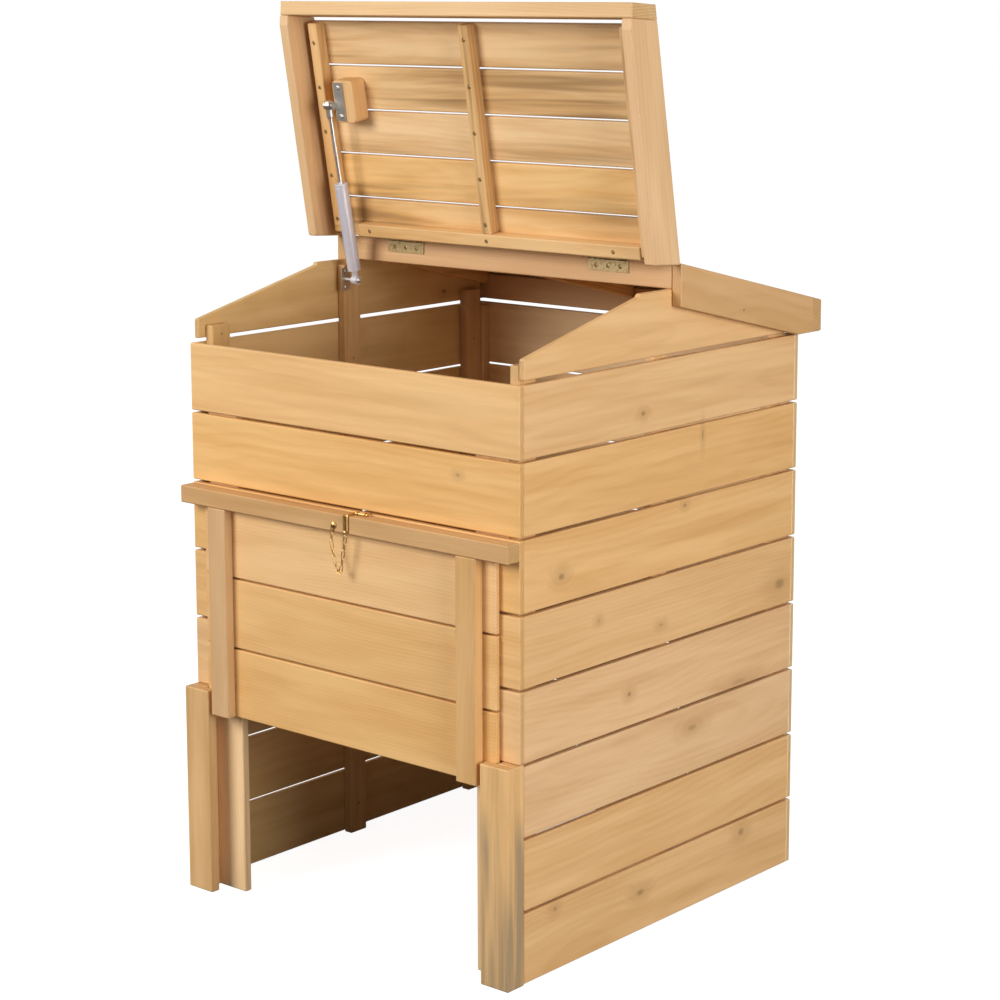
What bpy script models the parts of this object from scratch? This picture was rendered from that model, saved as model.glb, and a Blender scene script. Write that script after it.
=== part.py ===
"""Wooden compost bin: boarded walls on battens, a hinged front roof held by a gas strut, a fixed rear
roof, and a hatch of three boards that slides up and down between the front posts.

Metres, +Z up. The origin is on the ground under the middle of the body, +X is to the right of someone
who faces the hatch, and the hatch is on the -Y side. The lid stands open and the hatch is raised.
"""

import math

import bmesh
import bpy
from mathutils import Matrix, Vector

# Body and wall boards
BODY_WIDTH = 0.6112
BODY_DEPTH = 0.6158
CLADDING = 0.009
BOARD_HEIGHT = 0.096
BOARD_GAP = 0.004
BOARD_COUNT = 8
FRONT_BOARD_COUNT = 5
GROUND_GAP = 0.002
EDGE_ROUNDING = 0.0012
FIT = 0.0003

# Battens inside the walls
WALL_BATTEN_THICK = 0.015
WALL_BATTEN_WIDTH = 0.034
MID_BATTEN_BACK = 0.007
CORNER_BATTEN_THICK = 0.0163
CORNER_BATTEN_WIDTH = 0.019
CORNER_BATTEN_SHORT = 0.004
LID_SEAT_GAP = 0.0039
MID_SEAT_GAP = 0.0057

# Front guides and posts
GUIDE_THICK = 0.012
GUIDE_WIDTH = 0.058
GUIDE_SIDE_GAP = 0.0006
GUIDE_SHORT = 0.008
POST_THICK = 0.015
POST_WIDTH = 0.048
SPACER_WIDTH = 0.030
POST_TOP_GAP = 0.0005

# Hatch
HATCH_BOARD_COUNT = 3
HATCH_BOARD_EXTRA = 0.003
HATCH_BOARD_GAP = 0.003
HATCH_BOARD_THICK = 0.008
HATCH_BACK_GAP = 0.001
HATCH_FRONT_GAP = 0.0006
HATCH_SIDE_GAP = 0.0026
HATCH_FLOOR_GAP = 0.0005
BOARDS_BEHIND_HATCH = 3
RAIL_BELOW_BOARD = 0.0055
STILE_WIDTH = 0.035
STILE_THICK = 0.015
STILE_SIDE_GAP = 0.0066
RAIL_HEIGHT = 0.0247

# Roof
ROOF_SLOPE = math.radians(13.4)
EAVE_RISE = 0.0566
GABLE_GAP = 0.006
GABLE_BELOW_ROOF = 0.0237
PLATEAU_BELOW_RIDGE = 0.0363
PLATEAU_HALF = 0.068
PLATEAU_STEP = 0.003
RAKE_THICK = 0.016
RAKE_HEIGHT = 0.059
RAKE_SIDE_GAP = 0.0004
RIDGE_SPLIT = 0.0004
FASCIA_THICK = 0.020
FASCIA_STANDOFF = 0.0131
LID_EAVE_BELOW_WALL = 0.002
REAR_EAVE_ABOVE_WALL = 0.003
PLANK_COUNT = 5
PLANK_THICK = 0.010
PLANK_GAP = 0.0037
PLANK_EAVE_GAP = 0.0040
PLANK_RIDGE_OFFSET = 0.0011
LID_PLANK_START = 0.0055
ROOF_BATTEN_THICK = 0.018
ROOF_BATTEN_WIDTH = 0.0175
ROOF_BATTEN_SIDE_GAP = 0.0011
LID_BATTEN_START = 0.014
MID_ROOF_BATTEN_X = 0.005
RIDGE_BOARD_THICK = 0.016
RIDGE_BOARD_TOP_GAP = 0.0004
RIDGE_BOARD_REBATE = 0.003
BACK_TOP_BOARD_GAP = 0.0011
HINGE_RAIL_THICK = 0.020
HINGE_RAIL_END = 0.029
HINGE_RAIL_FACE = 0.0036
HINGE_RAIL_FROM_STRUT = 0.012
JOINT_SINK = 0.0003

# Counterbores for the screws in the lid's battens and hinge rail
SCREW_HOLE_RADIUS = 0.0031
SCREW_HOLE_DEPTH = 0.002
SIDE_SCREW_SHIFT = 0.002
MID_SCREW_SHIFT = 0.010
RAIL_SCREW_FROM_LEFT = 0.025
RAIL_SCREW_FROM_RIGHT = 0.046
RAIL_SCREW_FROM_EDGE = 0.010

# Lid hinge
LID_OPEN_ANGLE = math.radians(93.6)
HINGE_BELOW_RIDGE = 0.0005
HINGE_FORWARD = 0.0018
LEFT_HINGE_INSET = 0.067
RIGHT_HINGE_INSET = 0.080
LEAF_LENGTH = 0.070
LEAF_DEPTH = 0.019
LEAF_THICK = 0.0013
KNUCKLE_RADIUS = 0.003
KNUCKLE_GAP = 0.0004
HINGE_PIN_RADIUS = 0.0012
HINGE_PIN_CLEARANCE = 0.0003
LEAF_HOLE_RADIUS = 0.0033
LEAF_HOLE_PITCH = 0.021

# Gas strut, in a plane beside the left wall
STRUT_FROM_BATTEN = 0.0223
STRUT_FOOT_Y = -0.026
STRUT_FOOT_BELOW_RIDGE = 0.064
STRUT_HEAD_S = 0.209
STRUT_HEAD_DEPTH = 0.042
STRUT_BARREL_RADIUS = 0.0097
STRUT_BARREL_START = 0.016
STRUT_BARREL_LENGTH = 0.133
STRUT_BARREL_FLOOR = 0.008
STRUT_ROD_RADIUS = 0.003
STRUT_ROD_CLEARANCE = 0.0003
STRUT_ROD_HELD = 0.022
STRUT_EYE_RADIUS = 0.0065
STRUT_EYE_WIDTH = 0.011
STRUT_NECK_RADIUS = 0.0045
STRUT_SOCKET_LENGTH = 0.016
STRUT_STUD_RADIUS = 0.0035
BRACKET_THICK = 0.0015
FOOT_BRACKET_WIDTH = 0.018
FOOT_BRACKET_HEIGHT = 0.034
HEAD_BRACKET_WIDTH = 0.018
HEAD_BRACKET_LENGTH = 0.056
HEAD_BRACKET_FROM_STRUT = 0.0102
BLOCK_FROM_STRUT = 0.007
BLOCK_WIDTH = 0.040
BLOCK_LENGTH = 0.062
BLOCK_THICK = 0.0267
BLOCK_CORNER = 0.007
BLOCK_BEYOND_HEAD = 0.005

# Hatch latch pin, a bent wire
LATCH_WIRE_RADIUS = 0.0016
LATCH_WIRE_GAP = 0.0005
LATCH_LOOP_X = 0.020
LATCH_LOOP_WIDTH = 0.005
LATCH_LOOP_DROP = 0.024
LATCH_BACK_RUN = 0.016
LATCH_LEG_LENGTH = 0.0235
LATCH_BEND = 0.0024

CYLINDER_SIDES = 32
SMALL_SIDES = 16

# Places that follow from the sizes
SIDES = {"left": -1.0, "right": 1.0}
SIN = math.sin(ROOF_SLOPE)
COS = math.cos(ROOF_SLOPE)
TAN = math.tan(ROOF_SLOPE)
HALF_WIDTH = BODY_WIDTH / 2
HALF_DEPTH = BODY_DEPTH / 2
BOARD_PITCH = BOARD_HEIGHT + BOARD_GAP
WALL_TOP = GROUND_GAP + BOARD_COUNT * BOARD_PITCH - BOARD_GAP
RIDGE_Z = WALL_TOP + EAVE_RISE + HALF_DEPTH * TAN
WALL_INNER_X = HALF_WIDTH - CLADDING
BACK_INNER_Y = HALF_DEPTH - CLADDING
FRONT_FACE_Y = -HALF_DEPTH - CLADDING
PLATEAU_Z = RIDGE_Z - PLATEAU_BELOW_RIDGE
FRONT_BOARD_BOTTOM = GROUND_GAP + (BOARD_COUNT - FRONT_BOARD_COUNT) * BOARD_PITCH
BATTEN_OUTER_X = WALL_INNER_X - FIT
BATTEN_INNER_X = BATTEN_OUTER_X - WALL_BATTEN_THICK
FASCIA_INNER_Y = HALF_DEPTH + FASCIA_STANDOFF
FASCIA_OUTER_Y = FASCIA_INNER_Y + FASCIA_THICK
LID_EAVE_Z = WALL_TOP - LID_EAVE_BELOW_WALL
REAR_EAVE_Z = WALL_TOP + REAR_EAVE_ABOVE_WALL
RAKE_INNER_X = HALF_WIDTH + RAKE_SIDE_GAP
RAKE_OUTER_X = RAKE_INNER_X + RAKE_THICK
PLANK_END_X = RAKE_INNER_X - FIT
PLANK_END_S = (FASCIA_INNER_Y - PLANK_EAVE_GAP) / COS
PLANK_PITCH = (PLANK_END_S - PLANK_RIDGE_OFFSET + PLANK_GAP) / PLANK_COUNT
ROOF_BATTEN_OUTER_X = WALL_INNER_X - ROOF_BATTEN_SIDE_GAP
ROOF_BATTEN_INNER_X = ROOF_BATTEN_OUTER_X - ROOF_BATTEN_WIDTH
ROOF_BATTEN_CENTRE_X = (ROOF_BATTEN_OUTER_X + ROOF_BATTEN_INNER_X) / 2
ROOF_BATTEN_DEPTH = PLANK_THICK + ROOF_BATTEN_THICK
HINGE_RAIL_DEPTH = PLANK_THICK + HINGE_RAIL_THICK
STRUT_X = -BATTEN_INNER_X + STRUT_FROM_BATTEN
BLOCK_LEFT_X = STRUT_X + BLOCK_FROM_STRUT
BLOCK_CENTRE_S = STRUT_HEAD_S + BLOCK_BEYOND_HEAD
HINGE_RAIL_LEFT_X = STRUT_X + HINGE_RAIL_FROM_STRUT
HINGE_RAIL_RIGHT_X = ROOF_BATTEN_INNER_X + JOINT_SINK
HINGE_CENTRES = {
    "left": HINGE_RAIL_LEFT_X + LEFT_HINGE_INSET,
    "right": HINGE_RAIL_RIGHT_X - RIGHT_HINGE_INSET,
}
HINGE_AXIS = Vector((0.0, -HINGE_FORWARD, RIDGE_Z - HINGE_BELOW_RIDGE))
SPACER_BACK_Y = -HALF_DEPTH - FIT
HATCH_BACK_Y = FRONT_FACE_Y - HATCH_BACK_GAP
HATCH_FRONT_Y = HATCH_BACK_Y - HATCH_BOARD_THICK
POST_BACK_Y = HATCH_FRONT_Y - HATCH_FRONT_GAP
POST_FRONT_Y = POST_BACK_Y - POST_THICK
POST_TOP = FRONT_BOARD_BOTTOM - POST_TOP_GAP
STILE_BACK_Y = HATCH_FRONT_Y - FIT
STILE_FRONT_Y = STILE_BACK_Y - STILE_THICK
HATCH_BOARD_HEIGHT = BOARD_HEIGHT + HATCH_BOARD_EXTRA
HATCH_PITCH = HATCH_BOARD_HEIGHT + HATCH_BOARD_GAP
RAIL_TOP = FRONT_BOARD_BOTTOM + BOARDS_BEHIND_HATCH * BOARD_PITCH - RAIL_BELOW_BOARD
RAIL_BOTTOM = RAIL_TOP - RAIL_HEIGHT
HATCH_TOP = RAIL_BOTTOM - FIT
HATCH_BOTTOM = HATCH_TOP + HATCH_BOARD_GAP - HATCH_BOARD_COUNT * HATCH_PITCH


def roof_z(y):
    """Height of the roof's top plane over a distance y in front of or behind the ridge."""
    return RIDGE_Z - abs(y) * TAN


def slope_point(s, depth, rear=False):
    """Y and Z of a point s down the closed roof from the ridge and depth below its top plane."""
    y = s * COS - depth * SIN
    z = RIDGE_Z - s * SIN - depth * COS
    return (y, z) if rear else (-y, z)


def finish(name, red, green, blue, roughness, metallic=0.0):
    """A Principled material of one colour, given as linear red, green and blue."""
    material = bpy.data.materials.new(name)
    material.use_nodes = True
    shader = material.node_tree.nodes["Principled BSDF"]
    shader.inputs["Base Color"].default_value = (red, green, blue, 1.0)
    shader.inputs["Roughness"].default_value = roughness
    shader.inputs["Metallic"].default_value = metallic
    material.diffuse_color = (red, green, blue, 1.0)
    return material


def place(name, data, material, location=(0.0, 0.0, 0.0), parent=None):
    """Put a mesh or curve in the part's collection under its own name and material."""
    piece = bpy.data.objects.new(name, data)
    data.materials.append(material)
    piece.location = location
    piece.parent = parent
    bin_parts.objects.link(piece)
    return piece


def ease(piece, width=EDGE_ROUNDING, segments=1):
    """Round the sharp edges of a piece."""
    bevel = piece.modifiers.new("Eased edges", "BEVEL")
    bevel.width = width
    bevel.segments = segments
    bevel.limit_method = "ANGLE"
    bevel.angle_limit = math.radians(35)
    return piece


def add_box(name, low, high, material, parent=None, rounding=EDGE_ROUNDING):
    """A box between two corners, with its origin at its centre."""
    low, high = Vector(low), Vector(high)
    shape = bmesh.new()
    bmesh.ops.create_cube(shape, size=1.0)
    bmesh.ops.scale(shape, vec=high - low, verts=shape.verts)
    mesh = bpy.data.meshes.new(name)
    shape.to_mesh(mesh)
    shape.free()
    piece = place(name, mesh, material, (low + high) / 2, parent)
    return ease(piece, rounding) if rounding else piece


def add_cylinder(name, start, end, radius, material, parent=None, sides=CYLINDER_SIDES):
    """A round bar from start to end, with its origin at its middle."""
    start, end = Vector(start), Vector(end)
    along = end - start
    shape = bmesh.new()
    bmesh.ops.create_cone(shape, cap_ends=True, segments=sides, radius1=radius, radius2=radius,
                          depth=along.length)
    mesh = bpy.data.meshes.new(name)
    shape.to_mesh(mesh)
    shape.free()
    mesh.shade_smooth()
    mesh.set_sharp_from_angle(angle=math.radians(40))
    piece = place(name, mesh, material, (start + end) / 2, parent)
    piece.rotation_euler = along.to_track_quat("Z", "Y").to_euler()
    return piece


def add_profile(name, outline, x_low, x_high, material, parent=None, rounding=EDGE_ROUNDING):
    """A flat outline in Y and Z, as thick as the way from x_low to x_high."""
    curve = bpy.data.curves.new(name, "CURVE")
    curve.dimensions = "2D"
    curve.fill_mode = "BOTH"
    curve.extrude = (x_high - x_low) / 2
    spline = curve.splines.new("POLY")
    spline.points.add(len(outline) - 1)
    for point, (y, z) in zip(spline.points, outline):
        point.co = (y, z, 0.0, 1.0)
    spline.use_cyclic_u = True
    offset = parent_offset(parent)
    location = Vector(((x_low + x_high) / 2, 0.0, 0.0)) - offset
    piece = place(name, curve, material, location, parent)
    piece.rotation_euler = (math.pi / 2, 0.0, math.pi / 2)
    weld = piece.modifiers.new("Close the caps", "WELD")
    weld.merge_threshold = 0.00002
    return ease(piece, rounding) if rounding else piece


def as_mesh(piece):
    """Turn a curve object into a mesh object of the same name, shape and place."""
    bpy.context.view_layer.update()
    evaluated = piece.evaluated_get(bpy.context.evaluated_depsgraph_get())
    mesh = bpy.data.meshes.new_from_object(evaluated)
    shape = bmesh.new()
    shape.from_mesh(mesh)
    bmesh.ops.remove_doubles(shape, verts=shape.verts, dist=0.00002)
    shape.to_mesh(mesh)
    shape.free()
    name, matrix = piece.name, piece.matrix_world.copy()
    bpy.data.objects.remove(piece, do_unlink=True)
    solid = bpy.data.objects.new(name, mesh)
    solid.matrix_world = matrix
    bin_parts.objects.link(solid)
    return solid


def parent_offset(parent):
    """Where a closed-lid point is measured from, under this parent."""
    return HINGE_AXIS if parent else Vector((0.0, 0.0, 0.0))


def combine(piece, others, operation):
    """Join other objects to a piece, or cut them from it, with one Boolean modifier each."""
    for other in others:
        bin_parts.objects.unlink(other)
        cutters.objects.link(other)
        other.hide_render = True
        other.display_type = "WIRE"
        step = piece.modifiers.new(other.name, "BOOLEAN")
        step.operation = operation
        step.object = other
    return piece


def add_empty(name, location, rotation_x=0.0, parent=None):
    """A frame that pieces are placed in."""
    frame = bpy.data.objects.new(name, None)
    frame.location = location
    frame.rotation_euler.x = rotation_x
    frame.parent = parent
    frame.empty_display_size = 0.05
    bin_parts.objects.link(frame)
    return frame


def both(side, inner, outer):
    """The low and high X of a piece that lies between inner and outer on one side."""
    return sorted((SIDES[side] * inner, SIDES[side] * outer))


def build_side_wall(side):
    """Eight boards on three battens, and the gable board over them."""
    x_low, x_high = both(side, WALL_INNER_X, HALF_WIDTH)
    back_end = BACK_INNER_Y - FIT
    for level in range(BOARD_COUNT):
        bottom = GROUND_GAP + level * BOARD_PITCH
        add_box(f"side_board_{side}_{level + 1}", (x_low, -HALF_DEPTH, bottom),
                (x_high, back_end, bottom + BOARD_HEIGHT), pine)
    gable_bottom = WALL_TOP + GABLE_GAP
    shoulder = PLATEAU_HALF + PLATEAU_STEP
    outline = [
        (-HALF_DEPTH, gable_bottom),
        (back_end, gable_bottom),
        (back_end, roof_z(back_end) - GABLE_BELOW_ROOF),
        (shoulder, roof_z(shoulder) - GABLE_BELOW_ROOF),
        (PLATEAU_HALF, PLATEAU_Z),
        (-PLATEAU_HALF, PLATEAU_Z),
        (-shoulder, roof_z(shoulder) - GABLE_BELOW_ROOF),
        (-HALF_DEPTH, roof_z(HALF_DEPTH) - GABLE_BELOW_ROOF),
    ]
    add_profile(f"gable_{side}", outline, x_low, x_high, pine)


def build_wall_battens(side):
    """Three upright battens that carry a side wall; the left front one stands behind the guide."""
    x_low, x_high = both(side, BATTEN_INNER_X, BATTEN_OUTER_X)
    guide_back = -HALF_DEPTH + FIT + GUIDE_THICK + FIT
    front_start = guide_back if side == "left" else -HALF_DEPTH + FIT
    back_end = BACK_INNER_Y - FIT - CORNER_BATTEN_THICK - FIT
    low_top = roof_z(HALF_DEPTH) - ROOF_BATTEN_DEPTH / COS - LID_SEAT_GAP
    mid_front = MID_BATTEN_BACK - WALL_BATTEN_WIDTH
    mid_top = roof_z(mid_front) - HINGE_RAIL_DEPTH / COS - MID_SEAT_GAP
    for place_name, start, top in (
        ("front", front_start, low_top),
        ("mid", mid_front, mid_top),
        ("back", back_end - WALL_BATTEN_WIDTH, low_top),
    ):
        add_box(f"wall_batten_{side}_{place_name}", (x_low, start, 0.0),
                (x_high, start + WALL_BATTEN_WIDTH, top), pine)


def build_back_wall():
    """Eight boards joined by two corner battens, and the loose top board under the rear roof."""
    boards = []
    for level in range(BOARD_COUNT):
        bottom = GROUND_GAP + level * BOARD_PITCH
        name = "back_panel" if level == 0 else f"back_board_{level + 1}"
        boards.append(add_box(name, (-HALF_WIDTH, BACK_INNER_Y, bottom),
                              (HALF_WIDTH, HALF_DEPTH, bottom + BOARD_HEIGHT), pine))
    battens = []
    for side in SIDES:
        x_low, x_high = both(side, BATTEN_OUTER_X - CORNER_BATTEN_WIDTH, BATTEN_OUTER_X)
        front = BACK_INNER_Y - FIT - CORNER_BATTEN_THICK
        battens.append(add_box(f"corner_batten_{side}", (x_low, front, GROUND_GAP),
                               (x_high, BACK_INNER_Y + JOINT_SINK, WALL_TOP - CORNER_BATTEN_SHORT),
                               pine))
    combine(boards[0], battens + boards[1:], "UNION")
    top = roof_z(HALF_DEPTH) - PLANK_THICK / COS - BACK_TOP_BOARD_GAP
    add_box("back_top_board", (-HALF_WIDTH, BACK_INNER_Y, WALL_TOP + GABLE_GAP),
            (HALF_WIDTH, HALF_DEPTH, top), pine)


def build_front_wall():
    """Five full-width boards, the guide strips behind them and the posts that hold the hatch."""
    for number in range(FRONT_BOARD_COUNT):
        bottom = FRONT_BOARD_BOTTOM + number * BOARD_PITCH
        add_box(f"front_board_{number + 1}", (-HALF_WIDTH, FRONT_FACE_Y, bottom),
                (HALF_WIDTH, -HALF_DEPTH, bottom + BOARD_HEIGHT), pine)
    guide_outer = BATTEN_INNER_X - GUIDE_SIDE_GAP
    guide_front = -HALF_DEPTH + FIT
    for side in SIDES:
        x_low, x_high = both(side, guide_outer - GUIDE_WIDTH, guide_outer)
        add_box(f"guide_strip_{side}", (x_low, guide_front, 0.0),
                (x_high, guide_front + GUIDE_THICK, WALL_TOP - GUIDE_SHORT), pine)
        x_low, x_high = both(side, HALF_WIDTH - POST_WIDTH, HALF_WIDTH)
        post = add_box(f"front_post_{side}", (x_low, POST_FRONT_Y, 0.0),
                       (x_high, POST_BACK_Y, POST_TOP), pine_grey)
        x_low, x_high = both(side, HALF_WIDTH - SPACER_WIDTH, HALF_WIDTH)
        spacer = add_box(f"post_spacer_{side}", (x_low, POST_BACK_Y - JOINT_SINK, 0.0),
                         (x_high, SPACER_BACK_Y, POST_TOP), pine)
        combine(post, [spacer], "UNION")


def build_hatch():
    """Three boards on two stiles under a full-width rail; all of it slides."""
    board_x = HALF_WIDTH - SPACER_WIDTH - HATCH_SIDE_GAP
    for number in range(HATCH_BOARD_COUNT):
        bottom = HATCH_BOTTOM + number * HATCH_PITCH
        add_box(f"hatch_board_{number + 1}", (-board_x, HATCH_FRONT_Y, bottom),
                (board_x, HATCH_BACK_Y, bottom + HATCH_BOARD_HEIGHT), pine)
    stile_outer = HALF_WIDTH - POST_WIDTH - STILE_SIDE_GAP
    for side in SIDES:
        x_low, x_high = both(side, stile_outer - STILE_WIDTH, stile_outer)
        add_box(f"hatch_stile_{side}", (x_low, STILE_FRONT_Y, HATCH_BOTTOM),
                (x_high, STILE_BACK_Y, HATCH_TOP), pine)
    add_box("hatch_rail", (-HALF_WIDTH, STILE_FRONT_Y, RAIL_BOTTOM),
            (HALF_WIDTH, FRONT_FACE_Y - FIT, RAIL_TOP), pine)


def rounded_route(corners, radius, steps=4):
    """The points of a path whose inner corners are rounded."""
    corners = [Vector(corner) for corner in corners]
    route = [corners[0]]
    for before, corner, after in zip(corners, corners[1:], corners[2:]):
        start = corner + (before - corner).normalized() * radius
        end = corner + (after - corner).normalized() * radius
        for step in range(steps + 1):
            t = step / steps
            route.append(start.lerp(corner, t).lerp(corner.lerp(end, t), t))
    return route + [corners[-1]]


def build_latch_pin():
    """A wire with a hairpin handle on the rail's face, bent back over its top into a leg along X."""
    face_y = STILE_FRONT_Y - LATCH_WIRE_GAP - LATCH_WIRE_RADIUS
    top_z = RAIL_TOP + LATCH_WIRE_GAP + LATCH_WIRE_RADIUS
    low_z = top_z - LATCH_LOOP_DROP
    back_y = face_y + LATCH_BACK_RUN
    shank_x = LATCH_LOOP_X + LATCH_LOOP_WIDTH
    route = rounded_route([
        (LATCH_LOOP_X, face_y, top_z),
        (LATCH_LOOP_X, face_y, low_z),
        (shank_x, face_y, low_z),
        (shank_x, face_y, top_z),
        (shank_x, back_y, top_z),
        (shank_x + LATCH_LEG_LENGTH, back_y, top_z),
    ], LATCH_BEND)
    curve = bpy.data.curves.new("latch_pin", "CURVE")
    curve.dimensions = "3D"
    curve.bevel_depth = LATCH_WIRE_RADIUS
    curve.bevel_resolution = 2
    curve.use_fill_caps = True
    spline = curve.splines.new("POLY")
    spline.points.add(len(route) - 1)
    for point, position in zip(spline.points, route):
        point.co = (*(position - route[0]), 1.0)
    place("latch_pin", curve, brass, route[0])


def rake_outline(rear):
    """Closed outline of a sloping rake board: plumb at the ridge, level where it meets the eave."""
    end = FASCIA_INNER_Y - FIT
    eave_z = REAR_EAVE_Z if rear else LID_EAVE_Z
    level_from = min((RIDGE_Z - RAKE_HEIGHT - eave_z) / TAN, end - EDGE_ROUNDING * 3)
    start = 0.0 if rear else RIDGE_SPLIT
    points = [
        (start, roof_z(start) - RAKE_HEIGHT),
        (level_from, roof_z(level_from) - RAKE_HEIGHT),
        (end, eave_z),
        (end, roof_z(end)),
        (start, roof_z(start)),
    ]
    return points if rear else [(-y, z) for y, z in reversed(points)]


def fascia_outline(rear):
    """Closed outline of the eave board, whose top follows the roof."""
    eave_z = REAR_EAVE_Z if rear else LID_EAVE_Z
    points = [
        (FASCIA_INNER_Y, eave_z),
        (FASCIA_OUTER_Y, eave_z),
        (FASCIA_OUTER_Y, roof_z(FASCIA_OUTER_Y)),
        (FASCIA_INNER_Y, roof_z(FASCIA_INNER_Y)),
    ]
    return points if rear else [(-y, z) for y, z in reversed(points)]


def ridge_board_outline():
    """Closed outline of the ridge board: its top follows the roof behind a rebate for the knuckles."""
    bottom = PLATEAU_Z + FIT
    back_top = roof_z(RIDGE_BOARD_THICK) - RIDGE_BOARD_TOP_GAP
    return [
        (0.0, bottom),
        (RIDGE_BOARD_THICK, bottom),
        (RIDGE_BOARD_THICK, back_top),
        (RIDGE_BOARD_REBATE, roof_z(RIDGE_BOARD_REBATE) - RIDGE_BOARD_TOP_GAP),
        (RIDGE_BOARD_REBATE, back_top),
        (0.0, back_top),
    ]


def slope_box(name, x_low, x_high, s_start, s_end, depth_start, depth_end, slope, rear):
    """A box that lies along the roof, in the frame of one slope."""
    y_low, y_high = (s_start, s_end) if rear else (-s_end, -s_start)
    return add_box(name, (x_low, y_low, -depth_end), (x_high, y_high, -depth_start), pine, slope)


def build_deck(name, first_start, batten_start, batten_end, slope, rear):
    """The planks of one slope with the battens under them, as the first plank's object."""
    planks = []
    for number in range(PLANK_COUNT):
        start = PLANK_RIDGE_OFFSET + number * PLANK_PITCH
        end = start + PLANK_PITCH - PLANK_GAP
        if number == 0:
            start = first_start
        label = name if number == 0 else f"{name}_plank_{number + 1}"
        planks.append(slope_box(label, -PLANK_END_X, PLANK_END_X, start, end, 0.0, PLANK_THICK,
                                slope, rear))
    top = PLANK_THICK - JOINT_SINK
    half = ROOF_BATTEN_WIDTH / 2
    mid = (MID_ROOF_BATTEN_X - half, MID_ROOF_BATTEN_X + half)
    battens = []
    for label, (x_low, x_high) in (
        ("left", both("left", ROOF_BATTEN_INNER_X, ROOF_BATTEN_OUTER_X)),
        ("mid", mid),
        ("right", both("right", ROOF_BATTEN_INNER_X, ROOF_BATTEN_OUTER_X)),
    ):
        start = batten_start
        if label == "mid" and not rear:
            start = HINGE_RAIL_END - JOINT_SINK
        battens.append(slope_box(f"{name}_batten_{label}", x_low, x_high, start, batten_end, top,
                                 ROOF_BATTEN_DEPTH, slope, rear))
    return combine(planks[0], battens + planks[1:], "UNION")


def build_rear_roof():
    """The fixed slope: two rakes, the eave board, the ridge board and the planked deck."""
    slope = add_empty("rear_slope", (0.0, 0.0, RIDGE_Z), -ROOF_SLOPE)
    for side in SIDES:
        x_low, x_high = both(side, RAKE_INNER_X, RAKE_OUTER_X)
        add_profile(f"rear_rake_{side}", rake_outline(True), x_low, x_high, pine)
    add_profile("rear_fascia", fascia_outline(True), -RAKE_OUTER_X, RAKE_OUTER_X, pine)
    add_profile("ridge_board", ridge_board_outline(), -HALF_WIDTH, HALF_WIDTH, pine)
    plank_start = (RIDGE_BOARD_THICK + FIT + PLANK_THICK * SIN) / COS
    batten_start = (RIDGE_BOARD_THICK + FIT + ROOF_BATTEN_DEPTH * SIN) / COS
    batten_end = (BACK_INNER_Y - FIT + (PLANK_THICK - JOINT_SINK) * SIN) / COS
    build_deck("rear_deck", plank_start, batten_start, batten_end, slope, True)


def build_lid(hinge):
    """The opening slope, modelled closed under the hinge's frame, which holds it open."""
    slope = add_empty("lid_slope", Vector((0.0, 0.0, RIDGE_Z)) - HINGE_AXIS, ROOF_SLOPE, hinge)
    for side in SIDES:
        x_low, x_high = both(side, RAKE_INNER_X, RAKE_OUTER_X)
        add_profile(f"lid_rake_{side}", rake_outline(False), x_low, x_high, pine, hinge)
    add_profile("lid_fascia", fascia_outline(False), -RAKE_OUTER_X, RAKE_OUTER_X, pine, hinge)
    deck = build_deck("lid_deck", LID_PLANK_START, LID_BATTEN_START, PLANK_END_S, slope, False)
    face_y = -HINGE_RAIL_FACE
    top = PLANK_THICK - JOINT_SINK
    outline = [
        (face_y, roof_z(face_y) - top / COS),
        slope_point(HINGE_RAIL_END, top),
        slope_point(HINGE_RAIL_END, HINGE_RAIL_DEPTH),
        (face_y, roof_z(face_y) - HINGE_RAIL_DEPTH / COS),
    ]
    rail = add_profile("hinge_rail", outline, HINGE_RAIL_LEFT_X, HINGE_RAIL_RIGHT_X, pine, hinge)
    combine(deck, [as_mesh(rail)], "UNION")
    combine(deck, cut_screw_holes(slope), "DIFFERENCE")
    build_strut_block(slope)
    return slope


def cut_screw_holes(slope):
    """Cutters for a screw in each plank at each lid batten, and for three in the hinge rail."""
    places = []
    battens = {
        "left": (-ROOF_BATTEN_CENTRE_X, SIDE_SCREW_SHIFT),
        "mid": (MID_ROOF_BATTEN_X, MID_SCREW_SHIFT),
        "right": (ROOF_BATTEN_CENTRE_X, SIDE_SCREW_SHIFT),
    }
    for x, shift in battens.values():
        for number in range(PLANK_COUNT):
            centre = PLANK_RIDGE_OFFSET + (number + 0.5) * PLANK_PITCH - PLANK_GAP / 2
            places.append((x, centre + shift, ROOF_BATTEN_DEPTH))
    left = HINGE_RAIL_LEFT_X + RAIL_SCREW_FROM_LEFT
    right = HINGE_RAIL_RIGHT_X - RAIL_SCREW_FROM_RIGHT
    for x in (left, (left + right) / 2, right):
        places.append((x, HINGE_RAIL_END - RAIL_SCREW_FROM_EDGE, HINGE_RAIL_DEPTH))
    return [
        add_cylinder(f"screw_hole_{number}", (x, -s, -depth - SCREW_HOLE_DEPTH),
                     (x, -s, -depth + SCREW_HOLE_DEPTH), SCREW_HOLE_RADIUS, pine, slope, SMALL_SIDES)
        for number, (x, s, depth) in enumerate(places)
    ]


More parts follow.
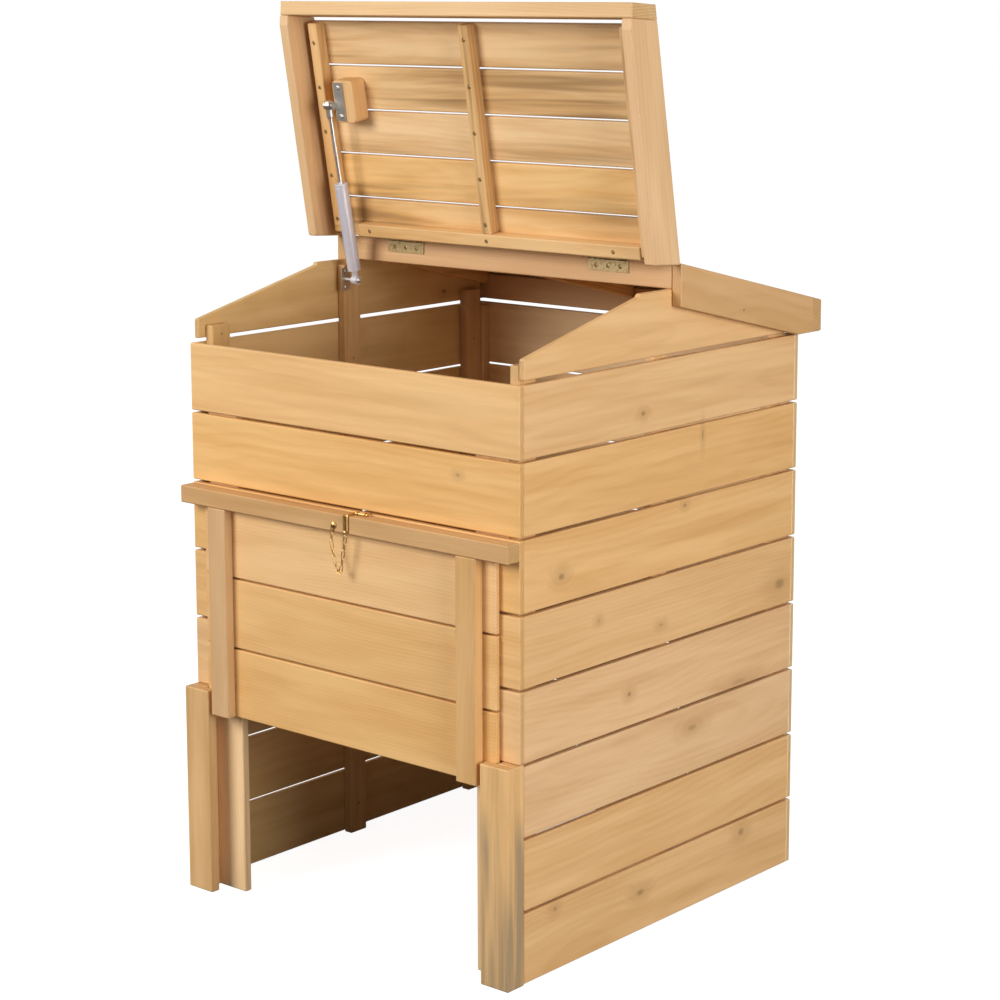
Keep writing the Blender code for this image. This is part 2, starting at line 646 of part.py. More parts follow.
def build_strut_block(slope):
    """The block under the planks that carries the strut's head; its corners are rounded."""
    curve = bpy.data.curves.new("strut_block", "CURVE")
    curve.dimensions = "2D"
    curve.fill_mode = "BOTH"
    curve.extrude = BLOCK_THICK / 2
    half_x = BLOCK_WIDTH / 2 - BLOCK_CORNER
    half_s = BLOCK_LENGTH / 2 - BLOCK_CORNER
    points = []
    for quarter in range(4):
        centre_x = half_x if quarter in (0, 3) else -half_x
        centre_s = half_s if quarter in (0, 1) else -half_s
        for step in range(5):
            angle = math.radians(90 * quarter + 90 * step / 4)
            points.append((centre_x + BLOCK_CORNER * math.cos(angle),
                           centre_s + BLOCK_CORNER * math.sin(angle)))
    spline = curve.splines.new("POLY")
    spline.points.add(len(points) - 1)
    for point, (x, y) in zip(spline.points, points):
        point.co = (x, y, 0.0, 1.0)
    spline.use_cyclic_u = True
    location = (BLOCK_LEFT_X + BLOCK_WIDTH / 2, -BLOCK_CENTRE_S,
                -PLANK_THICK - FIT - BLOCK_THICK / 2)
    block = place("strut_block", curve, pine, location, slope)
    weld = block.modifiers.new("Close the caps", "WELD")
    weld.merge_threshold = 0.00002
    ease(block)


def build_hinges(hinge):
    """Two butt hinges: one leaf and pin on the ridge board, one leaf on the lid's hinge rail."""
    bore = HINGE_PIN_RADIUS + HINGE_PIN_CLEARANCE
    hole_drop = (LEAF_DEPTH + KNUCKLE_RADIUS + KNUCKLE_GAP) / 2
    third = LEAF_LENGTH / 3
    leaf_top = -HINGE_BELOW_RIDGE
    for side, centre in HINGE_CENTRES.items():
        low, high = centre - LEAF_LENGTH / 2, centre + LEAF_LENGTH / 2
        inner_low, inner_high = low + third, high - third
        axis = HINGE_AXIS
        fixed = add_box(f"hinge_leaf_fixed_{side}", (low, -FIT - LEAF_THICK, axis.z - LEAF_DEPTH),
                        (high, -FIT, axis.z - KNUCKLE_RADIUS - KNUCKLE_GAP), zinc, None, 0.0)
        parts = []
        for end_low, end_high in ((low, inner_low - KNUCKLE_GAP), (inner_high + KNUCKLE_GAP, high)):
            parts.append(add_cylinder(f"knuckle_{side}_{len(parts)}", (end_low, axis.y, axis.z),
                                      (end_high, axis.y, axis.z), KNUCKLE_RADIUS, zinc,
                                      sides=SMALL_SIDES))
            parts.append(add_box(f"web_{side}_{len(parts)}",
                                 (end_low, -FIT - LEAF_THICK, axis.z - LEAF_DEPTH / 2),
                                 (end_high, -FIT, axis.z), zinc, None, 0.0))
        parts.append(add_cylinder(f"hinge_pin_{side}", (low + third / 2, axis.y, axis.z),
                                  (high - third / 2, axis.y, axis.z), HINGE_PIN_RADIUS, zinc,
                                  sides=SMALL_SIDES))
        combine(fixed, parts, "UNION")
        combine(fixed, leaf_holes(f"fixed_{side}", Vector((centre, -FIT, axis.z - hole_drop)), None),
                "DIFFERENCE")
        rail_y = -HINGE_RAIL_FACE + FIT - axis.y
        leaf = add_box(f"hinge_leaf_lid_{side}", (low, rail_y, -LEAF_DEPTH),
                       (high, rail_y + LEAF_THICK, -KNUCKLE_RADIUS - KNUCKLE_GAP), zinc, hinge, 0.0)
        barrel = add_cylinder(f"lid_knuckle_{side}", (inner_low, 0.0, 0.0), (inner_high, 0.0, 0.0),
                              KNUCKLE_RADIUS, zinc, hinge, SMALL_SIDES)
        web = add_box(f"lid_web_{side}", (inner_low, rail_y, -LEAF_DEPTH / 2),
                      (inner_high, rail_y + LEAF_THICK, leaf_top), zinc, hinge, 0.0)
        drill = add_cylinder(f"lid_bore_{side}", (inner_low - KNUCKLE_GAP, 0.0, 0.0),
                             (inner_high + KNUCKLE_GAP, 0.0, 0.0), bore, zinc, hinge, SMALL_SIDES)
        combine(leaf, [web, barrel], "UNION")
        holes = leaf_holes(f"lid_{side}", Vector((centre, rail_y, -hole_drop)), hinge)
        combine(leaf, [drill] + holes, "DIFFERENCE")


def leaf_holes(label, middle, parent):
    """Cutters for the three screw holes of a hinge leaf whose face holds the middle point."""
    through = Vector((0.0, LEAF_THICK * 2, 0.0))
    places = [middle + Vector((step * LEAF_HOLE_PITCH, 0.0, 0.0)) for step in (-1, 0, 1)]
    return [
        add_cylinder(f"leaf_hole_{label}_{number}", place - through, place + through,
                     LEAF_HOLE_RADIUS, zinc, parent, SMALL_SIDES)
        for number, place in enumerate(places)
    ]


def build_strut(hinge, slope):
    """The gas strut with its two brackets, in the pose that holds the lid open."""
    foot = Vector((STRUT_X, STRUT_FOOT_Y, RIDGE_Z - STRUT_FOOT_BELOW_RIDGE))
    head_y, head_z = slope_point(STRUT_HEAD_S, STRUT_HEAD_DEPTH)
    closed_head = Vector((STRUT_X, head_y, head_z)) - HINGE_AXIS
    head = HINGE_AXIS + Matrix.Rotation(-LID_OPEN_ANGLE, 3, "X") @ closed_head
    along = (head - foot).normalized()
    eye = Vector((STRUT_EYE_WIDTH / 2, 0.0, 0.0))

    start = foot + along * STRUT_BARREL_START
    end = start + along * STRUT_BARREL_LENGTH
    barrel = add_cylinder("strut_cylinder", start, end, STRUT_BARREL_RADIUS, strut_paint)
    neck = add_cylinder("strut_foot_neck", foot, start + along * JOINT_SINK, STRUT_NECK_RADIUS,
                        strut_paint, sides=SMALL_SIDES)
    lower_eye = add_cylinder("strut_foot_eye", foot - eye, foot + eye, STRUT_EYE_RADIUS,
                             strut_paint, sides=SMALL_SIDES)
    bore = add_cylinder("strut_bore", start + along * STRUT_BARREL_FLOOR, end + along * FIT,
                        STRUT_ROD_RADIUS + STRUT_ROD_CLEARANCE, strut_paint)
    combine(barrel, [neck, lower_eye], "UNION")
    combine(barrel, [bore], "DIFFERENCE")
    rest_at(barrel, foot)

    rod = add_cylinder("strut_rod", end - along * STRUT_ROD_HELD, head, STRUT_ROD_RADIUS, steel)
    socket = add_cylinder("strut_head_socket", head - along * STRUT_SOCKET_LENGTH, head,
                          STRUT_NECK_RADIUS, steel, sides=SMALL_SIDES)
    upper_eye = add_cylinder("strut_head_eye", head - eye, head + eye, STRUT_EYE_RADIUS, steel,
                             sides=SMALL_SIDES)
    combine(rod, [socket, upper_eye], "UNION")

    plate_x = -BATTEN_INNER_X + FIT
    half_width = FOOT_BRACKET_WIDTH / 2
    foot_bracket = add_box("strut_lower_bracket",
                           (plate_x, foot.y - half_width, foot.z - FOOT_BRACKET_HEIGHT / 2),
                           (plate_x + BRACKET_THICK, foot.y + half_width,
                            foot.z + FOOT_BRACKET_HEIGHT / 2), zinc, None, 0.0)
    stud = add_cylinder("strut_foot_stud", (plate_x + BRACKET_THICK / 2, foot.y, foot.z),
                        (foot.x - eye.x - FIT, foot.y, foot.z), STRUT_STUD_RADIUS, zinc,
                        sides=SMALL_SIDES)
    combine(foot_bracket, [stud], "UNION")

    plate_depth = PLANK_THICK + FIT + BLOCK_THICK + FIT
    plate_left = STRUT_X + HEAD_BRACKET_FROM_STRUT
    plate = add_box("strut_upper_bracket",
                    (plate_left, -BLOCK_CENTRE_S - HEAD_BRACKET_LENGTH / 2,
                     -plate_depth - BRACKET_THICK),
                    (plate_left + HEAD_BRACKET_WIDTH, -BLOCK_CENTRE_S + HEAD_BRACKET_LENGTH / 2,
                     -plate_depth), zinc, slope, 0.0)
    lug_half = STRUT_STUD_RADIUS + BRACKET_THICK
    lug = add_box("strut_head_lug",
                  (plate_left, -STRUT_HEAD_S - lug_half, -STRUT_HEAD_DEPTH - lug_half),
                  (plate_left + BRACKET_THICK, -STRUT_HEAD_S + lug_half,
                   -plate_depth - BRACKET_THICK / 2), zinc, slope, 0.0)
    head_stud = add_cylinder("strut_head_stud",
                             (STRUT_X + eye.x + FIT, -STRUT_HEAD_S, -STRUT_HEAD_DEPTH),
                             (plate_left + BRACKET_THICK / 2, -STRUT_HEAD_S, -STRUT_HEAD_DEPTH),
                             STRUT_STUD_RADIUS, zinc, slope, SMALL_SIDES)
    combine(plate, [lug, head_stud], "UNION")


def rest_at(piece, point):
    """Move a piece's origin to a point and leave its shape where it is."""
    bpy.context.view_layer.update()
    inverse = piece.matrix_world.inverted()
    piece.data.transform(Matrix.Translation(-(inverse @ point)))
    piece.location = point


for old_object in list(bpy.data.objects):
    bpy.data.objects.remove(old_object, do_unlink=True)
bin_parts = bpy.data.collections.new("Compost bin")
cutters = bpy.data.collections.new("Joined and cut shapes")
bpy.context.scene.collection.children.link(bin_parts)
bpy.context.scene.collection.children.link(cutters)

pine = finish("Planed pine", 0.760, 0.450, 0.212, 0.62)
pine_grey = finish("Weathered pine", 0.560, 0.385, 0.240, 0.70)
zinc = finish("Zinc-plated steel", 0.62, 0.60, 0.56, 0.35, 1.0)
strut_paint = finish("Silver strut enamel", 0.55, 0.55, 0.60, 0.35, 0.4)
steel = finish("Polished steel", 0.70, 0.68, 0.68, 0.22, 1.0)
brass = finish("Brass-plated wire", 0.62, 0.42, 0.16, 0.35, 1.0)

for wall_side in SIDES:
    build_side_wall(wall_side)
    build_wall_battens(wall_side)
build_back_wall()
build_front_wall()
build_hatch()
build_latch_pin()
build_rear_roof()
lid_hinge = add_empty("lid_hinge", HINGE_AXIS, -LID_OPEN_ANGLE)
lid_slope = build_lid(lid_hinge)
build_hinges(lid_hinge)
build_strut(lid_hinge, lid_slope)
bpy.context.view_layer.update()
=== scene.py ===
import logging
import math
from dataclasses import dataclass, field
from enum import Enum
from typing import Any, Iterable, Sequence

import bmesh
import bpy
from bmesh.types import BMesh, BMVert
from bpy.types import Material, Mesh, Node, NodeSocket, NodeTree, Object
from mathutils import Euler, Matrix, Vector


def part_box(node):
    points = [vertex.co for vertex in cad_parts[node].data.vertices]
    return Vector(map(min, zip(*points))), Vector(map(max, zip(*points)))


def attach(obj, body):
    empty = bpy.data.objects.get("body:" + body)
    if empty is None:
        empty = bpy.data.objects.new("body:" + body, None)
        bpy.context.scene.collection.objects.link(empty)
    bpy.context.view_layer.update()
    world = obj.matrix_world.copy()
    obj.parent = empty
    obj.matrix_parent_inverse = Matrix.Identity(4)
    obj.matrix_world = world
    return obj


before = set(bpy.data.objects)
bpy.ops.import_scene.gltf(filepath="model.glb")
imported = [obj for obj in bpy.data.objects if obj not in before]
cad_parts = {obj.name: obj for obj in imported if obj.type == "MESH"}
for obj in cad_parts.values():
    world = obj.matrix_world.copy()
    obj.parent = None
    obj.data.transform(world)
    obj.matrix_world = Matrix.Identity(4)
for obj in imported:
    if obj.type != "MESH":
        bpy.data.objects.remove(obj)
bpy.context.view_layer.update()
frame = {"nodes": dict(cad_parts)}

MM = 0.001
LOG = logging.getLogger("compost_bin")

RIDGE_Z = 0.92795
ROOF_SLOPE = math.radians(13.4)
LID_OPEN_ANGLE = math.radians(93.6)
HINGE_AXIS = Vector((0.0, -0.0018, 0.92745))
BOARD_PITCH = 0.100
PLANK_THICK = 0.010
PLANK_PITCH = 0.065694
HALF_WIDTH = 0.3056
FRONT_FACE_Y = -0.3169
BACK_BOARDS_Y = 0.2987
HINGE_RAIL_END = 0.0292
HINGE_RAIL_RIGHT_X = 0.2783

# Knots on the right wall: Y and Z in metres, length and height in millimetres, strength.
SIDE_KNOTS = (
    (-0.0605, 0.730, 5.0, 4.0, 0.55), (0.0757, 0.683, 2.0, 9.0, 0.45),
    (0.0356, 0.589, 4.0, 3.0, 0.6), (-0.233, 0.5375, 7.0, 5.0, 0.6),
    (0.270, 0.4345, 14.0, 9.0, 0.5), (-0.154, 0.463, 4.0, 3.0, 0.3),
    (-0.0167, 0.430, 5.0, 3.0, 0.3), (-0.087, 0.347, 5.0, 4.0, 0.55),
    (0.058, 0.2665, 12.0, 5.0, 0.35), (-0.059, 0.057, 9.0, 5.0, 0.5),
    (0.181, 0.0805, 8.0, 6.0, 0.5), (-0.245, 0.0876, 5.0, 4.0, 0.4),
    (0.170, 0.309, 20.0, 4.0, 0.25))


def linear(hex_colour: str) -> tuple[float, float, float, float]:
    """Turn an sRGB hex colour into linear red, green, blue and alpha.

    Args:
        hex_colour: Six hex digits, with or without a leading hash.

    Returns:
        The linear colour, with an alpha of one.
    """
    digits = hex_colour.lstrip("#")
    channels = (int(digits[start:start + 2], 16) / 255 for start in (0, 2, 4))
    straight = [c / 12.92 if c <= 0.04045 else ((c + 0.055) / 1.055) ** 2.4 for c in channels]
    return (*straight, 1.0)


def add_node(tree: NodeTree, kind: str, inputs: dict[Any, Any] | None = None,
             **settings: Any) -> Node:
    """Add a shader node, set its properties and fill or link its inputs.

    Args:
        tree: The material's or world's node tree.
        kind: The node's type name after its prefix, such as Math.
        inputs: A value, a socket to link, or a node whose first output is linked, for each input.
        **settings: The node's own properties, such as operation.

    Returns:
        The new node.
    """
    node = tree.nodes.new(f"ShaderNode{kind}")
    for name, value in settings.items():
        setattr(node, name, value)
    for key, value in (inputs or {}).items():
        if isinstance(value, Node):
            value = value.outputs[0]
        if isinstance(value, NodeSocket):
            tree.links.new(value, node.inputs[key])
        else:
            node.inputs[key].default_value = value
    return node


def new_material(name: str) -> tuple[Material, NodeTree, Node]:
    """Make an empty material with its Principled shader.

    Args:
        name: What the surface is and how it was made.

    Returns:
        The material, its node tree and its shader node.
    """
    material = bpy.data.materials.new(name)
    material.use_nodes = True
    tree = material.node_tree
    return material, tree, tree.nodes["Principled BSDF"]


def dress(material: Material, *nodes: str) -> None:
    """Give CAD nodes a finish.

    Args:
        material: The finish.
        *nodes: The names of the nodes that take it.
    """
    for name in nodes:
        slots = frame["nodes"][name].data.materials
        slots.clear()
        slots.append(material)


def add_piece(name: str, mesh: Mesh, material: Material, body: str) -> Object:
    """Put a new mesh in the scene, finished and riding on a body.

    Args:
        name: The piece's name.
        mesh: Its mesh, in the part's own frame.
        material: Its finish.
        body: The body that it moves with.

    Returns:
        The new object.
    """
    mesh.materials.append(material)
    piece = bpy.data.objects.new(name, mesh)
    bpy.context.scene.collection.objects.link(piece)
    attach(piece, body)
    return piece


def slope_frame(opened: bool) -> Matrix:
    """Frame of a roof slope: X along the ridge, -Y down the front slope and Z out of the roof.

    Args:
        opened: Whether this is the front slope as it stands open, or the fixed rear slope.

    Returns:
        The matrix that takes the slope's own coordinates to the part's frame.
    """
    ridge = Matrix.Translation((0.0, 0.0, RIDGE_Z))
    if not opened:
        return ridge @ Matrix.Rotation(-ROOF_SLOPE, 4, "X")
    return LID_SWING @ ridge @ Matrix.Rotation(ROOF_SLOPE, 4, "X")


LID_SWING = (Matrix.Translation(HINGE_AXIS) @ Matrix.Rotation(-LID_OPEN_ANGLE, 4, "X")
             @ Matrix.Translation(-HINGE_AXIS))
LID_SLOPE = slope_frame(True)
REAR_SLOPE = slope_frame(False)


class Side(Enum):
    """A side of the bin, with the sign of X there."""

    LEFT = -1.0
    RIGHT = 1.0

    def __str__(self) -> str:
        """The side as it stands in the nodes' names."""
        return self.name.lower()


class Grain(Enum):
    """Which way a board's fibres run in its own frame, as the turn that brings them to X."""

    ALONG_X = Euler((0.0, 0.0, 0.0))
    ALONG_Y = Euler((0.0, 0.0, math.pi / 2))
    ALONG_Z = Euler((0.0, -math.pi / 2, 0.0))


class Battens(Enum):
    """Which battens are in one node with the boards that they cross."""

    NONE = "none"
    WALL = "inside the back wall"
    REAR = "under the rear roof"
    LID = "under the lid, clear of the hinge rail"


@dataclass(frozen=True)
class Knot:
    """A knot that shows: its place in the part's frame and its size in millimetres."""

    place: tuple[float, float, float]
    length: float
    height: float
    strength: float = 0.8


@dataclass(frozen=True)
class PlanedPine:
    """Planed softwood boards, knotty and clear: matt, honey-coloured, with soft streaks of grain.

    The growth rings are worked out round a pith line, so faces show long lines or arches and the
    ends show arcs. Their spacing is drawn 1.5 times as wide as the 2 to 3 mm of the real wood,
    which would not show. Distances are in millimetres.
    """

    name: str
    grain: Grain
    light: str = "#EFC081"
    dark: str = "#DFAA69"
    latewood: str = "#B98548"
    flame_colour: str = "#AC7E42"
    knot_colour: str = "#7D6440"
    halo_colour: str = "#C2935F"
    frame: Matrix = field(default_factory=Matrix)
    pitch: float = 0.0
    first: float = 0.0
    battens: Battens = Battens.NONE
    ring_width: float = 4.2
    ring_contrast: float = 0.14
    streak_contrast: float = 0.7
    flame_contrast: float = 0.12
    board_contrast: float = 0.5
    knot_share: float = 0.0
    knots: tuple[Knot, ...] = ()
    weathered_to: float = 0.0
    weathered_fade: float = 0.06
    weathered_contrast: float = 0.7
    weathered_colour: str = "#8F7F68"

    def build(self) -> Material:
        """Make the material.

        Returns:
            The finished material.
        """
        material, tree, shader = new_material(self.name)
        place, board = self.board_place(tree)
        seed = self.board_seed(tree, board)
        knot, halo = self.knot_masks(tree, place, seed)
        rings = self.growth_rings(tree, place, seed, halo)
        # Fibres 45 mm long and 1.3 mm wide, drawn coarser than the real ones, which wouldn't show.
        fibre = add_node(tree, "TexNoise", {
            "Vector": add_node(tree, "VectorMath", {0: place, 1: (1 / 45, 1 / 1.3, 1 / 1.3)},
                               operation="MULTIPLY"),
            "W": seed, "Scale": 1.0, "Detail": 3.0, "Roughness": 0.6}, noise_dimensions="4D")
        # Soft streaks 330 mm long and 26 mm wide on the face.
        streak = add_node(tree, "TexNoise", {
            "Vector": add_node(tree, "VectorMath", {0: place, 1: (1 / 330, 1 / 26, 1 / 40)},
                               operation="MULTIPLY"),
            "W": seed, "Scale": 1.0, "Detail": 3.0, "Roughness": 0.55, "Distortion": 0.35},
            noise_dimensions="4D")
        colour = self.base_colour(tree, seed, streak.outputs["Fac"], rings, fibre.outputs["Fac"])
        colour = self.flame(tree, colour, place, seed, self.flame_colour, self.flame_contrast)
        if self.weathered_to:
            where = add_node(tree, "TexCoord")
            height = add_node(tree, "SeparateXYZ", {0: where.outputs["Object"]})
            low = add_node(tree, "MapRange", {
                "Value": height.outputs["Z"], "From Min": self.weathered_to,
                "From Max": self.weathered_to - self.weathered_fade})
            colour = self.flame(tree, colour, place, seed, self.weathered_colour,
                                self.weathered_contrast, low.outputs[0])
        colour = self.end_grain(tree, colour, rings)
        if self.knots or self.knot_share:
            tinted = add_node(tree, "Math", {0: halo, 1: 0.45}, operation="MULTIPLY")
            haloed = add_node(tree, "Mix", {0: tinted, 6: colour, 7: linear(self.halo_colour)},
                              data_type="RGBA")
            colour = add_node(tree, "Mix", {
                0: knot, 6: haloed.outputs[2], 7: linear(self.knot_colour)},
                data_type="RGBA").outputs[2]
        tree.links.new(colour, shader.inputs["Base Color"])
        gloss = add_node(tree, "MapRange", {
            "Value": fibre.outputs["Fac"], "From Min": 0.3, "From Max": 0.7,
            "To Min": 0.52, "To Max": 0.68})
        tree.links.new(gloss.outputs[0], shader.inputs["Roughness"])
        height = add_node(tree, "Math", {0: fibre.outputs["Fac"], 1: rings}, operation="SUBTRACT")
        # Arrises rounded by 1.6 mm, as a planer and sandpaper leave them.
        edge = add_node(tree, "Bevel", {"Radius": 1.6 * MM}, samples=4)
        bump = add_node(tree, "Bump", {
            "Strength": 0.35, "Distance": 0.12 * MM, "Height": height, "Normal": edge})
        tree.links.new(bump.outputs[0], shader.inputs["Normal"])
        shader.inputs["IOR"].default_value = 1.5
        return material

    def board_place(self, tree: NodeTree) -> tuple[NodeSocket, Any]:
        """Where a point lies on its board: X along the fibres, Y across the face, Z through it.

        Args:
            tree: The material's node tree.

        Returns:
            The place in millimetres and, for boards that share a node, the board's number.
        """
        where = add_node(tree, "TexCoord")
        local = add_node(tree, "Mapping", {
            "Vector": where.outputs["Object"], "Location": self.frame.to_translation(),
            "Rotation": self.frame.to_euler(), "Scale": (MM, MM, MM)}, vector_type="TEXTURE")
        along = add_node(tree, "Mapping", {
            "Vector": local, "Rotation": self.grain.value}, vector_type="TEXTURE")
        if not self.pitch:
            return along.outputs[0], None
        axes = add_node(tree, "SeparateXYZ", {0: along})
        on_slope = self.battens in (Battens.REAR, Battens.LID)
        across, depth = (axes.outputs[name] for name in ("YZ" if on_slope else "ZY"))
        first = add_node(tree, "Math", {0: across, 1: self.first / MM}, operation="SUBTRACT")
        count = add_node(tree, "Math", {0: first, 1: self.pitch / MM}, operation="DIVIDE")
        number = add_node(tree, "Math", {0: count}, operation="FLOOR")
        part = add_node(tree, "Math", {0: count}, operation="FRACT")
        centred = add_node(tree, "Math", {0: part, 1: self.pitch / MM, 2: -0.5 * self.pitch / MM},
                           operation="MULTIPLY_ADD")
        plank = add_node(tree, "CombineXYZ", {"X": axes.outputs["X"], "Y": centred, "Z": depth})
        if self.battens is Battens.NONE:
            return plank.outputs[0], number.outputs[0]
        return self.with_battens(tree, axes, plank, number)

    def with_battens(self, tree: NodeTree, axes: Node, plank: Node,
                     number: Node) -> tuple[NodeSocket, NodeSocket]:
        """Turn the grain on the battens that share a node with the boards they carry.

        Args:
            tree: The material's node tree.
            axes: The place on the boards, taken apart.
            plank: The place on one board.
            number: The board's number.

        Returns:
            The place and the number, with the battens' own in their stead.
        """
        if self.battens is Battens.WALL:
            behind = add_node(tree, "Math", {0: axes.outputs["Y"], 1: BACK_BOARDS_Y / MM},
                              operation="LESS_THAN")
            crossed = add_node(tree, "CombineXYZ", {
                "X": axes.outputs["Z"], "Y": axes.outputs["X"], "Z": axes.outputs["Y"]})
        else:
            # The battens' grain starts 0.05 mm under the planks, whose undersides keep their own.
            behind = add_node(tree, "Math", {0: axes.outputs["Z"], 1: -PLANK_THICK / MM - 0.05},
                              operation="LESS_THAN")
            if self.battens is Battens.LID:
                clear = add_node(tree, "Math", {0: axes.outputs["Y"], 1: -HINGE_RAIL_END / MM},
                                 operation="LESS_THAN")
                behind = add_node(tree, "Math", {0: behind, 1: clear}, operation="MULTIPLY")
            crossed = add_node(tree, "CombineXYZ", {
                "X": axes.outputs["Y"], "Y": axes.outputs["X"], "Z": axes.outputs["Z"]})
        # Battens stand over 150 mm apart, so the rounded share of that gives each one its number,
        # and 40 keeps these numbers away from the boards' own.
        share = add_node(tree, "Math", {0: axes.outputs["X"], 1: 1 / 150}, operation="MULTIPLY")
        side = add_node(tree, "Math", {0: share}, operation="ROUND")
        other = add_node(tree, "Math", {0: side, 1: 40.0}, operation="ADD")
        place = add_node(tree, "Mix", {0: behind, 4: plank, 5: crossed}, data_type="VECTOR")
        board = add_node(tree, "Mix", {0: behind, 2: number, 3: other})
        return place.outputs[1], board.outputs[0]

    def board_seed(self, tree: NodeTree, board: Any) -> NodeSocket:
        """A number of its own for every board, from 0 to 60.

        Args:
            tree: The material's node tree.
            board: The board's number where boards share a node, or nothing.

        Returns:
            The socket that gives it.
        """
        if board is None:
            own = add_node(tree, "ObjectInfo").outputs["Random"]
        else:
            own = add_node(tree, "TexWhiteNoise", {"W": board},
                           noise_dimensions="1D").outputs["Value"]
        return add_node(tree, "Math", {0: own, 1: 60.0}, operation="MULTIPLY").outputs[0]

    def knot_masks(self, tree: NodeTree, place: NodeSocket, seed: NodeSocket) -> tuple[Any, Any]:
        """Where the knots are, and how far the grain bends round them.

        Args:
            tree: The material's node tree.
            place: The place on the board.
            seed: The board's own number.

        Returns:
            The sockets of the knots' mask and of their wider halo, or zeros without knots.
        """
        masks = [self.chance_knots(tree, place, seed)] if self.knot_share else []
        masks += [self.placed_knot(tree, knot) for knot in self.knots]
        knot_sum: Any = 0.0
        halo_sum: Any = 0.0
        for reach, present, strength in masks:
            core = add_node(tree, "MapRange", {
                "Value": reach, "From Min": 1.15, "From Max": 0.35, "To Min": 0.0,
                "To Max": strength}, interpolation_type="SMOOTHSTEP")
            ring = add_node(tree, "MapRange", {
                "Value": reach, "From Min": 5.0, "From Max": 0.6, "To Min": 0.0, "To Max": 1.0},
                interpolation_type="SMOOTHSTEP")
            core_on = add_node(tree, "Math", {0: core, 1: present}, operation="MULTIPLY")
            ring_on = add_node(tree, "Math", {0: ring, 1: present}, operation="MULTIPLY")
            knot_sum = add_node(tree, "Math", {0: knot_sum, 1: core_on},
                                operation="MAXIMUM").outputs[0]
            halo_sum = add_node(tree, "Math", {0: halo_sum, 1: ring_on},
                                operation="MAXIMUM").outputs[0]
        return knot_sum, halo_sum

    def chance_knots(self, tree: NodeTree, place: NodeSocket,
                     seed: NodeSocket) -> tuple[Any, Any, float]:
        """How far a point is from the nearest knot set by chance, in knot sizes.

        Args:
            tree: The material's node tree.
            place: The place on the board.
            seed: The board's own number.

        Returns:
            The sockets of the distance and of the knot's presence, and its strength.
        """
        # One place for a knot in every 210 by 95 mm; a knot is 16 by 9 mm.
        cell = (1 / 210, 1 / 95, 1 / 95)
        spread = add_node(tree, "VectorMath", {0: place, 1: cell}, operation="MULTIPLY")
        cells = add_node(tree, "TexVoronoi", {
            "Vector": spread, "W": seed, "Scale": 1.0, "Randomness": 0.9}, voronoi_dimensions="4D")
        away = add_node(tree, "VectorMath", {0: spread, 1: cells.outputs["Position"]},
                        operation="SUBTRACT")
        real = add_node(tree, "VectorMath", {0: away, 1: (210 / 8, 95 / 4.6, 95 / 30)},
                        operation="MULTIPLY")
        distance = add_node(tree, "VectorMath", {0: real}, operation="LENGTH")
        pick = add_node(tree, "Math", {
            0: add_node(tree, "SeparateXYZ", {0: cells.outputs["Color"]}),
            1: self.knot_share}, operation="LESS_THAN")
        return distance.outputs["Value"], pick.outputs[0], 0.75

    def placed_knot(self, tree: NodeTree, knot: Knot) -> tuple[Any, float, float]:
        """How far a point is from a knot given in the list, in knot sizes.

        Args:
            tree: The material's node tree.
            knot: The knot, on an upright board.

        Returns:
            The socket of the distance, a presence of one and the knot's strength.
        """
        where = add_node(tree, "TexCoord")
        offset = add_node(tree, "VectorMath", {0: where.outputs["Object"], 1: knot.place},
                          operation="SUBTRACT")
        wide = 1 / (knot.length * MM)
        across = 1 / (8 * knot.height * MM)
        tall = 1 / (knot.height * MM)
        scale = {Grain.ALONG_X: (wide, across, tall), Grain.ALONG_Y: (across, wide, tall),
                 Grain.ALONG_Z: (tall, across, wide)}[self.grain]
        sized = add_node(tree, "VectorMath", {0: offset, 1: scale}, operation="MULTIPLY")
        length = add_node(tree, "VectorMath", {0: sized}, operation="LENGTH")
        return length.outputs["Value"], 1.0, knot.strength

    def growth_rings(self, tree: NodeTree, place: NodeSocket,
                     seed: NodeSocket, halo: Any) -> NodeSocket:
        """The late wood of each year's ring, from 0 between rings to 1.

        Args:
            tree: The material's node tree.
            place: The place on the board.
            seed: The board's own number.
            halo: How far the grain bends round a knot.

        Returns:
            The socket of the late wood's strength.
        """
        pith = add_node(tree, "TexWhiteNoise", {"W": seed}, noise_dimensions="1D")
        # The pith lies up to 80 mm aside from the board's middle and 45 to 195 mm behind it.
        offset = add_node(tree, "VectorMath", {
            0: pith.outputs["Color"], 1: (0.0, 160.0, -150.0), 2: (0.0, -80.0, -45.0)},
            operation="MULTIPLY_ADD")
